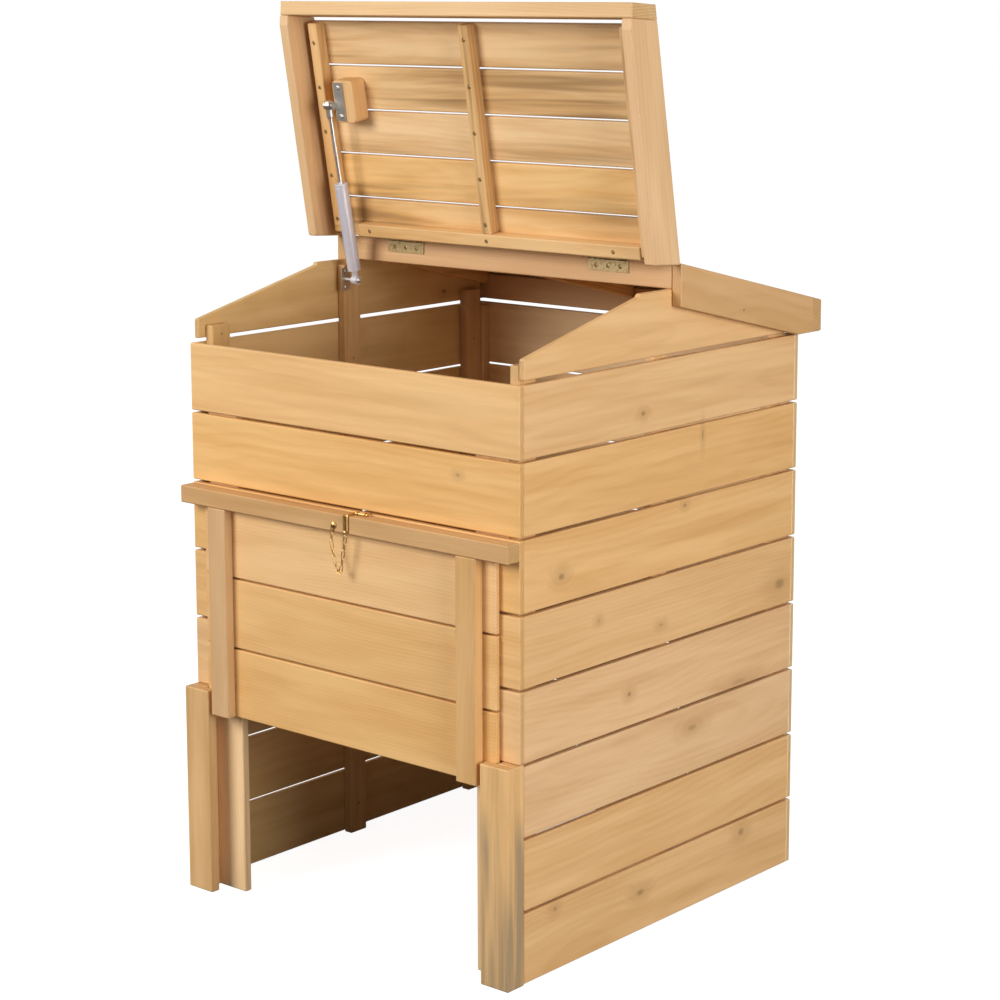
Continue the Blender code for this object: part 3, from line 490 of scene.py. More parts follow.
        # The rings wander over 420 mm along a board and 300 mm across it.
        wander = add_node(tree, "TexNoise", {
            "Vector": add_node(tree, "VectorMath", {0: place, 1: (1 / 420, 1 / 300, 1 / 300)},
                               operation="MULTIPLY"),
            "W": seed, "Scale": 1.0, "Detail": 1.5}, noise_dimensions="4D")
        drift = add_node(tree, "VectorMath", {
            0: wander.outputs["Color"], 1: (0.0, 46.0, 40.0), 2: place}, operation="MULTIPLY_ADD")
        away = add_node(tree, "VectorMath", {0: drift, 1: offset}, operation="SUBTRACT")
        flat = add_node(tree, "VectorMath", {0: away, 1: (0.0, 1.0, 1.0)}, operation="MULTIPLY")
        radius = add_node(tree, "VectorMath", {0: flat}, operation="LENGTH")
        bent = add_node(tree, "Math", {0: halo, 1: 7.0, 2: radius.outputs["Value"]},
                        operation="MULTIPLY_ADD")
        years = add_node(tree, "Math", {0: bent, 1: self.ring_width}, operation="DIVIDE")
        year = add_node(tree, "Math", {0: years}, operation="FRACT")
        rise = add_node(tree, "MapRange", {
            "Value": year, "From Min": 0.25, "From Max": 0.8}, interpolation_type="SMOOTHSTEP")
        fall = add_node(tree, "MapRange", {
            "Value": year, "From Min": 0.82, "From Max": 0.98, "To Min": 1.0,
            "To Max": 0.0}, interpolation_type="SMOOTHSTEP")
        late = add_node(tree, "Math", {0: rise, 1: fall}, operation="MULTIPLY")
        return late.outputs[0]

    def base_colour(self, tree: NodeTree, seed: NodeSocket,
                    streak: NodeSocket, rings: NodeSocket,
                    fibre: NodeSocket) -> NodeSocket:
        """Mix the board's tone, its streaks, rings and fibres.

        Args:
            tree: The material's node tree.
            seed: The board's own number.
            streak: Broad soft streaks.
            rings: Late wood of the growth rings.
            fibre: Fine fibres.

        Returns:
            The socket of the colour.
        """
        band = add_node(tree, "MapRange", {
            "Value": streak, "From Min": 0.32, "From Max": 0.68, "To Min": 0.0,
            "To Max": self.streak_contrast}, interpolation_type="SMOOTHSTEP")
        mixed = add_node(tree, "Mix", {
            0: band, 6: linear(self.light), 7: linear(self.dark)}, data_type="RGBA")
        faded = add_node(tree, "MapRange", {
            "Value": streak, "From Min": 0.38, "From Max": 0.62,
            "To Min": self.ring_contrast * 0.35, "To Max": self.ring_contrast})
        ring_share = add_node(tree, "Math", {0: rings, 1: faded}, operation="MULTIPLY")
        ringed = add_node(tree, "Mix", {
            0: ring_share, 6: mixed.outputs[2], 7: linear(self.latewood)}, data_type="RGBA")
        own = add_node(tree, "TexWhiteNoise", {
            "W": add_node(tree, "Math", {0: seed, 1: 7.31}, operation="ADD")},
            noise_dimensions="1D")
        swing = 0.10 * self.board_contrast
        tone = add_node(tree, "MapRange", {
            "Value": own.outputs["Value"], "To Min": 1.0 - swing, "To Max": 1.0 + swing})
        fine = add_node(tree, "MapRange", {
            "Value": fibre, "From Min": 0.3, "From Max": 0.7, "To Min": 0.965, "To Max": 1.03})
        value = add_node(tree, "Math", {0: tone, 1: fine}, operation="MULTIPLY")
        warm = add_node(tree, "MapRange", {
            "Value": add_node(tree, "SeparateXYZ", {0: own.outputs["Color"]}).outputs[1],
            "To Min": 1.0 - 0.16 * self.board_contrast, "To Max": 1.0 + 0.12 * self.board_contrast})
        return add_node(tree, "HueSaturation", {
            "Saturation": warm, "Value": value, "Color": ringed.outputs[2]}).outputs[0]

    def flame(self, tree: NodeTree, colour: NodeSocket,
              place: NodeSocket, seed: NodeSocket, hue: str, contrast: float,
              where: Any = None) -> NodeSocket:
        """Lay the long streaks of heartwood or weather over a board, in one part of it only.

        Args:
            tree: The material's node tree.
            colour: The board's colour.
            place: The place on the board.
            seed: The board's own number.
            hue: The streaks' colour.
            contrast: How strong they are at most.
            where: A mask for them, or nothing.

        Returns:
            The socket of the colour with the streaks in it.
        """
        # Tongues 430 mm long and 17 mm wide, gathered in bands 420 mm long and 48 mm wide.
        spread = add_node(tree, "VectorMath", {0: place, 1: (1 / 430, 1 / 17, 1 / 17)},
                          operation="MULTIPLY")
        tongues = add_node(tree, "TexNoise", {
            "Vector": spread, "W": seed, "Scale": 1.0, "Detail": 2.0, "Roughness": 0.5,
            "Distortion": 0.9}, noise_dimensions="4D")
        wide = add_node(tree, "VectorMath", {0: place, 1: (1 / 420, 1 / 48, 1 / 48)},
                        operation="MULTIPLY")
        heart = add_node(tree, "TexNoise", {
            "Vector": wide, "W": seed, "Scale": 1.0, "Detail": 1.0}, noise_dimensions="4D")
        # Weather reaches further into the wood's tone than the streaks of heartwood do.
        spare = 0.0 if where is None else 0.14
        tongue = add_node(tree, "MapRange", {
            "Value": tongues.outputs["Fac"], "From Min": 0.42 - spare, "From Max": 0.70 - spare},
            interpolation_type="SMOOTHSTEP")
        region = add_node(tree, "MapRange", {
            "Value": heart.outputs["Fac"], "From Min": 0.40 - spare, "From Max": 0.58 - spare,
            "To Min": 0.0, "To Max": contrast}, interpolation_type="SMOOTHSTEP")
        share = add_node(tree, "Math", {0: tongue, 1: region}, operation="MULTIPLY")
        if where is not None:
            share = add_node(tree, "Math", {0: share, 1: where}, operation="MULTIPLY")
        return add_node(tree, "Mix", {
            0: share, 6: colour, 7: linear(hue)}, data_type="RGBA").outputs[2]

    def end_grain(self, tree: NodeTree, colour: NodeSocket,
                  rings: NodeSocket) -> NodeSocket:
        """Darken the ends, where the fibres are cut across and drink more light.

        Args:
            tree: The material's node tree.
            colour: The long faces' colour.
            rings: Late wood of the growth rings.

        Returns:
            The socket of the colour with the ends in it.
        """
        fibres = self.frame.to_3x3() @ self.grain.value.to_matrix() @ Vector((1.0, 0.0, 0.0))
        facing = add_node(tree, "TexCoord")
        along = add_node(tree, "VectorMath", {0: facing.outputs["Normal"], 1: fibres},
                         operation="DOT_PRODUCT")
        size = add_node(tree, "Math", {0: along.outputs["Value"]}, operation="ABSOLUTE")
        is_end = add_node(tree, "MapRange", {"Value": size, "From Min": 0.75, "From Max": 0.95})
        share = add_node(tree, "Math", {0: is_end, 1: 0.55}, operation="MULTIPLY")
        sawn = add_node(tree, "Mix", {
            0: rings, 6: linear("#C9A069"), 7: linear("#AD8048")}, data_type="RGBA")
        return add_node(tree, "Mix", {
            0: share, 6: colour, 7: sawn.outputs[2]}, data_type="RGBA").outputs[2]


@dataclass(frozen=True)
class Metal:
    """A small metal part: its own colour, how clean it is and the mottle that handling leaves."""

    name: str
    colour: str
    tarnish: str
    roughness: float
    mottle: float = 3.0
    metallic: float = 1.0

    def build(self) -> Material:
        """Make the material.

        Returns:
            The finished material.
        """
        material, tree, shader = new_material(self.name)
        where = add_node(tree, "TexCoord")
        # Patches as wide as the mottle, in millimetres, which is coarser than real spangle or wear.
        cloud = add_node(tree, "TexNoise", {
            "Vector": where.outputs["Object"], "Scale": 1 / (self.mottle * MM), "Detail": 4.0,
            "Roughness": 0.6})
        share = add_node(tree, "MapRange", {
            "Value": cloud.outputs["Fac"], "From Min": 0.4, "From Max": 0.7},
            interpolation_type="SMOOTHSTEP")
        colour = add_node(tree, "Mix", {
            0: share, 6: linear(self.colour), 7: linear(self.tarnish)}, data_type="RGBA")
        tree.links.new(colour.outputs[2], shader.inputs["Base Color"])
        rough = add_node(tree, "MapRange", {
            "Value": cloud.outputs["Fac"], "From Min": 0.3, "From Max": 0.7,
            "To Min": self.roughness * 0.8, "To Max": self.roughness * 1.25})
        tree.links.new(rough.outputs[0], shader.inputs["Roughness"])
        bump = add_node(tree, "Bump", {
            "Strength": 0.15, "Distance": 0.05 * MM, "Height": cloud.outputs["Fac"]})
        tree.links.new(bump.outputs[0], shader.inputs["Normal"])
        shader.inputs["Metallic"].default_value = self.metallic
        return material


@dataclass
class Finishes:
    """Every finish on the bin, made once."""

    made: dict[str, Material] = field(default_factory=dict)

    def build(self) -> None:
        """Make the finishes."""
        side_knots = tuple(Knot((HALF_WIDTH, y, z), length, height, strength)
                           for y, z, length, height, strength in SIDE_KNOTS)
        front_knots = (Knot((0.2008, FRONT_FACE_Y, 0.6714), 4.0, 2.5, 0.45),)
        wood = [
            PlanedPine("planed_pine_side_boards", Grain.ALONG_Y, "#EDBF86", "#DCA96D",
                       pitch=BOARD_PITCH, knots=side_knots),
            # The left wall, seen from inside: a darker, less red copy of the side boards, a painted
            # shade for the dim inside of the bin.
            PlanedPine("planed_pine_left_boards", Grain.ALONG_Y, "#DFB97E", "#CCA467",
                       pitch=BOARD_PITCH, knot_share=0.12),
            PlanedPine("planed_pine_front_boards", Grain.ALONG_X, pitch=BOARD_PITCH,
                       knots=front_knots),
            PlanedPine("planed_pine_hatch_boards", Grain.ALONG_X),
            # The back wall: paler than the other boards, a painted light on its inside face, which
            # shows through the top opening.
            PlanedPine("planed_pine_back_boards", Grain.ALONG_X, "#F7D6A4", "#EAC592",
                       pitch=BOARD_PITCH, battens=Battens.WALL, knot_share=0.12),
            # Rails, fascias and ridge board: darker than the boards, partly their own tone and
            # partly a painted shade for the ridge board under the open lid.
            PlanedPine("planed_pine_rails", Grain.ALONG_X, "#DDB07C", "#C89A65",
                       flame_contrast=0.25),
            PlanedPine("planed_pine_uprights", Grain.ALONG_Z, "#DCB07A", "#C5965E",
                       flame_contrast=0.45),
            # The battens inside the walls: darkened, a painted shade for the dim inside of the bin.
            PlanedPine("planed_pine_wall_battens", Grain.ALONG_Z, "#DCB47C", "#C89C63",
                       flame_contrast=0.3),
            # The guides: paler than the other uprights, a painted light where the posts shade them.
            PlanedPine("planed_pine_guides", Grain.ALONG_Z, "#FFD9A4", "#F3C78F",
                       flame_contrast=0.3),
            PlanedPine("planed_pine_lid_planks", Grain.ALONG_X, "#F0C78D", "#D9A664",
                       frame=LID_SLOPE, pitch=PLANK_PITCH, first=-0.0667, battens=Battens.LID,
                       flame_colour="#9A7342", streak_contrast=0.9, flame_contrast=0.85),
            PlanedPine("planed_pine_rear_planks", Grain.ALONG_X, frame=REAR_SLOPE,
                       pitch=PLANK_PITCH, battens=Battens.REAR, flame_contrast=0.4,
                       knot_share=0.1),
            PlanedPine("planed_pine_lid_eave", Grain.ALONG_X, "#F6CF9C", "#E6BA83",
                       flame_contrast=0.2),
            PlanedPine("planed_pine_lid_rakes", Grain.ALONG_Y, "#E9BE8A", "#D9AB75",
                       frame=LID_SLOPE),
            PlanedPine("planed_pine_rear_rakes", Grain.ALONG_Y, "#E2B684", "#CFA06A",
                       frame=REAR_SLOPE),
            # The front posts: paler than the stiles, a painted light on these low parts, which the
            # lamps reach less. The grey at the right post's foot is its own weathering.
            PlanedPine("planed_pine_left_post", Grain.ALONG_Z, "#EDC087", "#D6A870",
                       flame_contrast=0.4),
            PlanedPine("weathered_pine_right_post", Grain.ALONG_Z, "#EDC087", "#D6A870",
                       flame_contrast=0.4, weathered_to=0.25)]
        metal = [
            # Zinc on pressed sheet: pale grey and dull.
            Metal("zinc_plated_steel", "#D0CAC2", "#BDB5AA", 0.38),
            # The same zinc, tinted a dull brownish yellow: a painted reflection of the wood round
            # it.
            Metal("yellow_passivated_steel", "#B39C74", "#8D7750", 0.46),
            # A drawn and ground rod: the brightest and evenest of the metals.
            Metal("drawn_bright_steel", "#E2DEDC", "#D2CDCB", 0.34, mottle=8.0),
            # Thin brass on wire: warm, and brighter where it isn't tarnished.
            Metal("brass_plated_wire", "#DFB878", "#A98349", 0.32, mottle=2.0),
            # Enamel with metal flakes on a tube: an even lilac grey with a soft shine.
            Metal("silver_enamelled_steel", "#D6D4DC", "#CECCD5", 0.36, mottle=14.0, metallic=0.3)]
        for finish in wood + metal:
            self.made[finish.name] = finish.build()

    def __getitem__(self, name: str) -> Material:
        """The finish of that name."""
        return self.made[name]


@dataclass
class Studio:
    """Pale floor, white surroundings, two soft lamps and the camera.

    Angles are in degrees, lengths in metres and the lamps' powers in watts.
    """

    yaw: float = 40.667
    pitch: float = 9.507
    roll: float = -0.117
    focal_pixels: float = 2480.2
    image_pixels: float = 1000.0
    principal_row: float = 401.5
    stand: tuple[float, float, float] = (2.2933, -2.6685, 1.2949)
    sky: float = 0.25
    key: float = 140.0
    key_place: tuple[float, float, float] = (-1.5, -3.6, 2.3)
    fill: float = 102.0
    fill_place: tuple[float, float, float] = (3.7, -0.8, 1.15)
    lamp_size: float = 2.0
    aim: tuple[float, float, float] = (0.0, 0.0, 0.55)
    floor_half: float = 30.0
    floor_drop: float = 0.5 * MM
    floor_glow: float = 0.92

    def build(self) -> None:
        """Set the camera, the lamps, the world and the floor."""
        self.add_camera()
        self.add_lamp("key_lamp", self.key_place, self.key)
        self.add_lamp("fill_lamp", self.fill_place, self.fill)
        self.set_world()
        self.add_floor()
        bpy.context.scene.view_settings.view_transform = "Standard"

    def add_camera(self) -> None:
        """Stand the camera where the photograph was taken from."""
        camera = bpy.data.cameras.new("camera")
        camera.sensor_width = 36.0
        camera.lens = self.focal_pixels / self.image_pixels * camera.sensor_width
        camera.shift_y = (self.principal_row - self.image_pixels / 2) / self.image_pixels
        camera.clip_start = 0.1
        camera.clip_end = 60.0
        holder = bpy.data.objects.new("camera", camera)
        holder.location = self.stand
        turn = (Matrix.Rotation(math.radians(self.yaw), 4, "Z")
                @ Matrix.Rotation(math.radians(90 - self.pitch), 4, "X")
                @ Matrix.Rotation(math.radians(self.roll), 4, "Z"))
        holder.rotation_euler = turn.to_euler()
        bpy.context.scene.collection.objects.link(holder)
        bpy.context.scene.camera = holder

    def add_lamp(self, name: str, place: tuple[float, float, float], power: float) -> None:
        """Hang one soft square lamp that faces the bin's middle.

        Args:
            name: The lamp's name.
            place: Where it hangs.
            power: Its power in watts.
        """
        lamp = bpy.data.lights.new(name, "AREA")
        lamp.size = self.lamp_size
        lamp.energy = power
        holder = bpy.data.objects.new(name, lamp)
        holder.location = place
        holder.visible_camera = False
        towards = Vector(self.aim) - Vector(place)
        holder.rotation_euler = towards.to_track_quat("-Z", "Y").to_euler()
        bpy.context.scene.collection.objects.link(holder)

    def set_world(self) -> None:
        """Light softly from all round, and show pure white to the camera and in reflections."""
        world = bpy.data.worlds.new("white_studio")
        bpy.context.scene.world = world
        world.use_nodes = True
        tree = world.node_tree
        tree.nodes.clear()
        path = add_node(tree, "LightPath")
        seen = add_node(tree, "Math", {
            0: path.outputs["Is Camera Ray"], 1: path.outputs["Is Glossy Ray"]},
            operation="MAXIMUM")
        through = add_node(tree, "Math", {
            0: seen, 1: path.outputs["Is Transmission Ray"]}, operation="MAXIMUM")
        light = add_node(tree, "Background", {"Color": linear("#FFFFFF"), "Strength": self.sky})
        shown = add_node(tree, "Background", {"Color": linear("#FFFFFF"), "Strength": 1.0})
        mixed = add_node(tree, "MixShader", {0: through, 1: light, 2: shown})
        add_node(tree, "OutputWorld", {0: mixed})

    def add_floor(self) -> None:
        """Lay a wide white floor that keeps a faint shadow under the bin."""
        shape = bmesh.new()
        bmesh.ops.create_grid(shape, x_segments=1, y_segments=1, size=self.floor_half)
        mesh = bpy.data.meshes.new("studio_floor")
        shape.to_mesh(mesh)
        shape.free()
        material, tree, shader = new_material("matt_white_floor")
        shader.inputs["Base Color"].default_value = linear("#242424")
        shader.inputs["Roughness"].default_value = 0.9
        path = add_node(tree, "LightPath")
        pale = add_node(tree, "BsdfDiffuse", {"Color": linear("#B4B4B4")})
        glow = add_node(tree, "Emission", {"Color": linear("#FFFFFF"), "Strength": self.floor_glow})
        lit = add_node(tree, "AddShader", {0: pale, 1: glow})
        both = add_node(tree, "MixShader", {0: path.outputs["Is Camera Ray"], 1: shader, 2: lit})
        output = tree.nodes["Material Output"]
        tree.links.new(both.outputs[0], output.inputs["Surface"])
        mesh.materials.append(material)
        floor = bpy.data.objects.new("studio_floor", mesh)
        floor.location.z = -self.floor_drop
        bpy.context.scene.collection.objects.link(floor)


@dataclass
class Walls:
    """The boarded walls on their battens, the guides and the front posts."""

    boards: int = 8
    front_boards: int = 5

    def dress(self, finishes: Finishes) -> None:
        """Give every wall piece its finish.

        Args:
            finishes: All finishes of the bin.
        """
        # The left wall takes a darker copy of the pine, a painted shade for the inside of the bin.
        boards = {Side.LEFT: "planed_pine_left_boards", Side.RIGHT: "planed_pine_side_boards"}
        for side in Side:
            names = [f"side_board_{side}_{level}" for level in range(1, self.boards + 1)]
            dress(finishes[boards[side]], *names, f"gable_{side}")
            # The guides take paler pine, a painted light in the posts' shadow.
            dress(finishes["planed_pine_guides"], f"guide_strip_{side}")
            # The battens take darkened pine, a painted shade for the inside of the bin.
            dress(finishes["planed_pine_wall_battens"],
                  *[f"wall_batten_{side}_{place}" for place in ("front", "mid", "back")])
        # The posts take paler pine, a painted light on these low parts.
        dress(finishes["planed_pine_left_post"], "front_post_left")
        dress(finishes["weathered_pine_right_post"], "front_post_right")
        dress(finishes["planed_pine_front_boards"],
              *[f"front_board_{level}" for level in range(1, self.front_boards + 1)])
        # The back panel takes paler pine, a painted light on its inside face.
        dress(finishes["planed_pine_back_boards"], "back_panel")
        dress(finishes["planed_pine_rails"], "back_top_board")
        LOG.info("walls dressed")


@dataclass
class Hatch:
    """Three boards on two stiles under a rail."""

    boards: int = 3

    def dress(self, finishes: Finishes) -> None:
        """Give the hatch its finish.

        Args:
            finishes: All finishes of the bin.
        """
        dress(finishes["planed_pine_hatch_boards"],
              *[f"hatch_board_{level}" for level in range(1, self.boards + 1)])
        dress(finishes["planed_pine_rails"], "hatch_rail")
        dress(finishes["planed_pine_uprights"], "hatch_stile_left", "hatch_stile_right")
        LOG.info("hatch dressed")


@dataclass
class Roof:
    """The fixed rear slope and the opening lid."""

    def dress(self, finishes: Finishes) -> None:
        """Give both slopes their finish.

        Args:
            finishes: All finishes of the bin.
        """
        dress(finishes["planed_pine_lid_planks"], "lid_deck")
        dress(finishes["planed_pine_rear_planks"], "rear_deck")
        dress(finishes["planed_pine_lid_rakes"], "lid_rake_left", "lid_rake_right", "strut_block")
        dress(finishes["planed_pine_rear_rakes"], "rear_rake_left", "rear_rake_right")
        # The ridge board's darker rails pine is partly a painted shade under the open lid.
        dress(finishes["planed_pine_rails"], "rear_fascia", "ridge_board")
        dress(finishes["planed_pine_lid_eave"], "lid_fascia")
        LOG.info("roof dressed")


@dataclass
class ScrewHead:
    """A steel screw's head with a cross recess, seen from above; sizes in metres.

    The recess's numbers are shares of the radius, and the profile gives the shares of radius and
    dome at the crown, the rim and the foot.
    """

    radius: float = 2.5 * MM
    dome: float = 0.9 * MM
    arm: float = 0.62
    crotch: float = 0.24
    arm_width: float = 0.22
    taper: float = 0.7
    depth: float = 0.7 * MM
    profile: tuple[tuple[float, float], ...] = ((0.82, 0.82), (1.0, 0.25), (0.96, 0.0))

    def add(self, shape: BMesh, place: Matrix) -> None:
        """Add one head to a mesh.

        Args:
            shape: The mesh that collects the heads.
            place: Where it sits; its Z points out of the surface.
        """
        half = math.atan2(self.arm_width, 1.0)
        turns = [quarter * math.pi / 2 + step for quarter in range(4)
                 for step in (-half, half, math.pi / 4)]
        reach = [self.arm * self.radius, self.arm * self.radius, self.crotch * self.radius] * 4
        plus = self.ring(shape, place, turns, reach, self.dome)
        narrow = [r * self.taper for r in reach]
        floor = self.ring(shape, place, turns, narrow, self.dome - self.depth)
        fine = []
        for turn, after in zip(turns, turns[1:] + [turns[0] + math.tau]):
            fine += [turn, (turn + after) / 2]
        crown, rim, foot = [
            self.ring(shape, place, fine, [self.radius * wide] * 24, self.dome * tall)
            for wide, tall in self.profile]
        for number in range(12):
            after = (number + 1) % 12
            first, second, third = (crown[2 * number], crown[2 * number + 1], crown[2 * after])
            shape.faces.new((plus[number], first, second))
            shape.faces.new((plus[number], second, plus[after]))
            shape.faces.new((plus[after], second, third))
            shape.faces.new((floor[number], plus[number], plus[after], floor[after]))
        shape.faces.new(floor)
        for lower, upper in ((rim, crown), (foot, rim)):
            for number in range(24):
                after = (number + 1) % 24
                shape.faces.new((lower[number], lower[after], upper[after], upper[number]))
        shape.faces.new(list(reversed(foot)))

    @staticmethod
    def ring(shape: BMesh, place: Matrix, turns: Sequence[float],
             reach: Sequence[float], height: float) -> list[BMVert]:
        """Add the points of one ring of the head.

        Args:
            shape: The mesh that collects the heads.
            place: Where the head sits.
            turns: Each point's angle.
            reach: Each point's distance from the middle.
            height: How far the ring stands out.

        Returns:
            The points in order.
        """
        return [shape.verts.new(place @ Vector((r * math.cos(turn), r * math.sin(turn), height)))
                for turn, r in zip(turns, reach)]


def screw_row(name: str, heads: Iterable[tuple[ScrewHead, Matrix]], finish: Material,
              body: str) -> Object:
    """Make the screws that hold one part, as one piece.

    Args:
        name: The piece's name.
        heads: Each head and where it sits.
        finish: Its finish.
        body: The body that it moves with.

    Returns:
        The new piece.
    """
    shape = bmesh.new()
    for head, place in heads:
        head.add(shape, place)
    bmesh.ops.recalc_face_normals(shape, faces=shape.faces)
    mesh = bpy.data.meshes.new(name)
    shape.to_mesh(mesh)
    shape.free()
    return add_piece(name, mesh, finish, body)


def facing(point: Vector, outward: Vector, turn: float = 0.0) -> Matrix:
    """A place at a point whose Z looks along a direction.

    Args:
        point: The point.
        outward: The direction.
        turn: How far the piece is turned about that direction.

    Returns:
        The place as a matrix.
    """
    look = outward.to_track_quat("Z", "Y").to_matrix().to_4x4()
    return Matrix.Translation(point) @ look @ Matrix.Rotation(turn, 4, "Z")


def wire_mesh(name: str, strands: Sequence[tuple[Sequence[Vector], bool]], radius: float,
              around: int = 2) -> Mesh:
    """Bend round wire along lines of points.

    Args:
        name: The mesh's name.
        strands: Each strand's points, and whether it closes on itself.
        radius: The wire's radius.
        around: How finely the wire's section is rounded.

    Returns:
        The wire as a mesh.
    """
    curve = bpy.data.curves.new(name, "CURVE")
    curve.dimensions = "3D"
    curve.bevel_depth = radius
    curve.bevel_resolution = around
    curve.use_fill_caps = True
    for points, closed in strands:
        spline = curve.splines.new("POLY")
        spline.points.add(len(points) - 1)
        for knot, point in zip(spline.points, points):
            knot.co = (*point, 1.0)
        spline.use_cyclic_u = closed
    holder = bpy.data.objects.new(name, curve)
    bpy.context.scene.collection.objects.link(holder)
    bpy.context.view_layer.update()
    mesh = bpy.data.meshes.new_from_object(holder.evaluated_get(
        bpy.context.evaluated_depsgraph_get()))
    bpy.data.objects.remove(holder)
    bpy.data.curves.remove(curve)
    for face in mesh.polygons:
        face.use_smooth = True
    mesh.materials.clear()
    return mesh


def turned(name: str, outline: Sequence[tuple[float, float]], place: Matrix,
           steps: int = 32) -> Mesh:
    """Turn an outline about an axis, as on a lathe.

    Args:
        name: The mesh's name.
        outline: Radius and height of each point, from one end of the axis to the other.
        place: Where the piece sits; its axis is Z.
        steps: How many sides it gets.

    Returns:
        The turned mesh.
    """
    shape = bmesh.new()
    points = [shape.verts.new((radius, 0.0, height)) for radius, height in outline]
    edges = [shape.edges.new(pair) for pair in zip(points, points[1:])]
    bmesh.ops.spin(shape, geom=points + edges, cent=(0.0, 0.0, 0.0), axis=(0.0, 0.0, 1.0),
                   dvec=(0.0, 0.0, 0.0), angle=math.tau, steps=steps, use_merge=True)
    bmesh.ops.remove_doubles(shape, verts=shape.verts, dist=1e-6)
    bmesh.ops.recalc_face_normals(shape, faces=shape.faces)
    shape.transform(place)
    mesh = bpy.data.meshes.new(name)
    shape.to_mesh(mesh)
    shape.free()
    return mesh


@dataclass
class Screws:
    """The screws that show, on the lid, the hinges, the wall battens and the rear roof.

    Their crosses stand at odd angles, as those of driven screws do.
    """

    head: ScrewHead = field(default_factory=ScrewHead)
    plank_pitch: float = PLANK_PITCH
    first_plank: float = 0.0321
    batten_face: float = 0.028
    rail_face: float = 0.030
    sunk: float = 1.7 * MM
    side_batten: float = 0.28675
    mid_batten: float = 0.005
    rail_screw_s: float = 0.019
    leaf_drop: float = 0.0112
    leaf_pitch: float = 0.021
    leaf_fixed_y: float = -0.00045
    leaf_lid_y: float = -0.00325
    wall_sunk: float = 0.6 * MM
    rake_sunk: float = 0.75 * MM
    rake_screw_y: float = 0.1464
    rake_screw_z: float = 0.8505
    rail_from_strut: float = 0.012
    rail_screw_from_left: float = 0.025
    rail_screw_from_right: float = 0.046

    def build(self, finishes: Finishes) -> None:
        """Put in all screws.

        Args:
            finishes: All finishes of the bin.
        """
        # The screws' tan is a painted reflection of the wood round them.
        yellow = finishes["yellow_passivated_steel"]
        screw_row("lid_batten_screws", self.lid_places(), yellow, "lid")
        for side in Side:
            screw_row(f"hinge_screws_fixed_{side}", self.leaf_places(side, False), yellow, "bin")
            screw_row(f"hinge_screws_lid_{side}", self.leaf_places(side, True), yellow, "lid")
            screw_row(f"wall_batten_screws_{side}", self.wall_places(side), yellow, "bin")
            screw_row(f"rear_rake_screw_{side}", self.rake_places(side), yellow, "bin")
        LOG.info("screws in place")

    def lid_places(self) -> Iterable[tuple[ScrewHead, Matrix]]:
        """Give each screw in the counterbores of the lid's battens and hinge rail."""
        inward = LID_SLOPE.to_3x3() @ Vector((0.0, 0.0, -1.0))
        rows = ((-self.side_batten, 0.002), (self.mid_batten, 0.010), (self.side_batten, 0.002))
        for x, shift in rows:
            for plank in range(5):
                along = self.first_plank + plank * self.plank_pitch + shift
                point = LID_SLOPE @ Vector((x, -along, -self.batten_face + self.sunk))
                yield self.head, facing(point, inward, 0.4 * plank + x)
        left, right = self.rail_ends()
        for number, x in enumerate((left, (left + right) / 2, right)):
            point = LID_SLOPE @ Vector((x, -self.rail_screw_s, -self.rail_face + self.sunk))
            yield self.head, facing(point, inward, 0.7 * number)

    def rail_ends(self) -> tuple[float, float]:
        """Give the places along X of the hinge rail's outer screws."""
        low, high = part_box("strut_cylinder")
        left = (low[0] + high[0]) / 2 + self.rail_from_strut + self.rail_screw_from_left
        return left, HINGE_RAIL_RIGHT_X - self.rail_screw_from_right

    def leaf_places(self, side: Side, on_lid: bool) -> Iterable[tuple[ScrewHead, Matrix]]:
        """Give the three screws of a hinge leaf.

        Args:
            side: The side of the bin.
            on_lid: Whether the leaf is the lid's.

        Yields:
            Each head and its place.
        """
        low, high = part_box(f"hinge_leaf_fixed_{side}")
        middle = (low[0] + high[0]) / 2
        head = ScrewHead(radius=2.9 * MM, dome=0.9 * MM, depth=0.6 * MM)
        for number in (-1, 0, 1):
            x = middle + number * self.leaf_pitch
            if on_lid:
                point = Vector((x, self.leaf_lid_y, HINGE_AXIS.z - self.leaf_drop))
                yield head, LID_SWING @ facing(point, Vector((0.0, 1.0, 0.0)), number)
            else:
                point = Vector((x, self.leaf_fixed_y, HINGE_AXIS.z - self.leaf_drop))
                yield head, facing(point, Vector((0.0, -1.0, 0.0)), 0.5 + number)

    def wall_places(self, side: Side) -> Iterable[tuple[ScrewHead, Matrix]]:
        """Give the screws in a side wall's battens.

        Args:
            side: The side of the bin.

        Yields:
            Each head and its place.
        """
        for place, heights in (("front", (0.809,)), ("mid", (0.743, 0.045)), ("back", (0.743,))):
            low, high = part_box(f"wall_batten_{side}_{place}")
            face = high[0] if side is Side.LEFT else low[0]
            inward = Vector((-side.value, 0.0, 0.0))
            for height in heights:
                point = Vector((face, (low[1] + high[1]) / 2, height))
                yield self.head, facing(point - inward * self.wall_sunk, inward, height)

    def rake_places(self, side: Side) -> Iterable[tuple[ScrewHead, Matrix]]:
        """Give the screw in the outer face of a rear rake.

        Args:
            side: The side of the bin.

        Yields:
            The head and its place.
        """
        low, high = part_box(f"rear_rake_{side}")
        face = high[0] if side is Side.RIGHT else low[0]
        point = Vector((face - side.value * self.rake_sunk, self.rake_screw_y, self.rake_screw_z))
        yield self.head, facing(point, Vector((side.value, 0.0, 0.0)), 0.3)


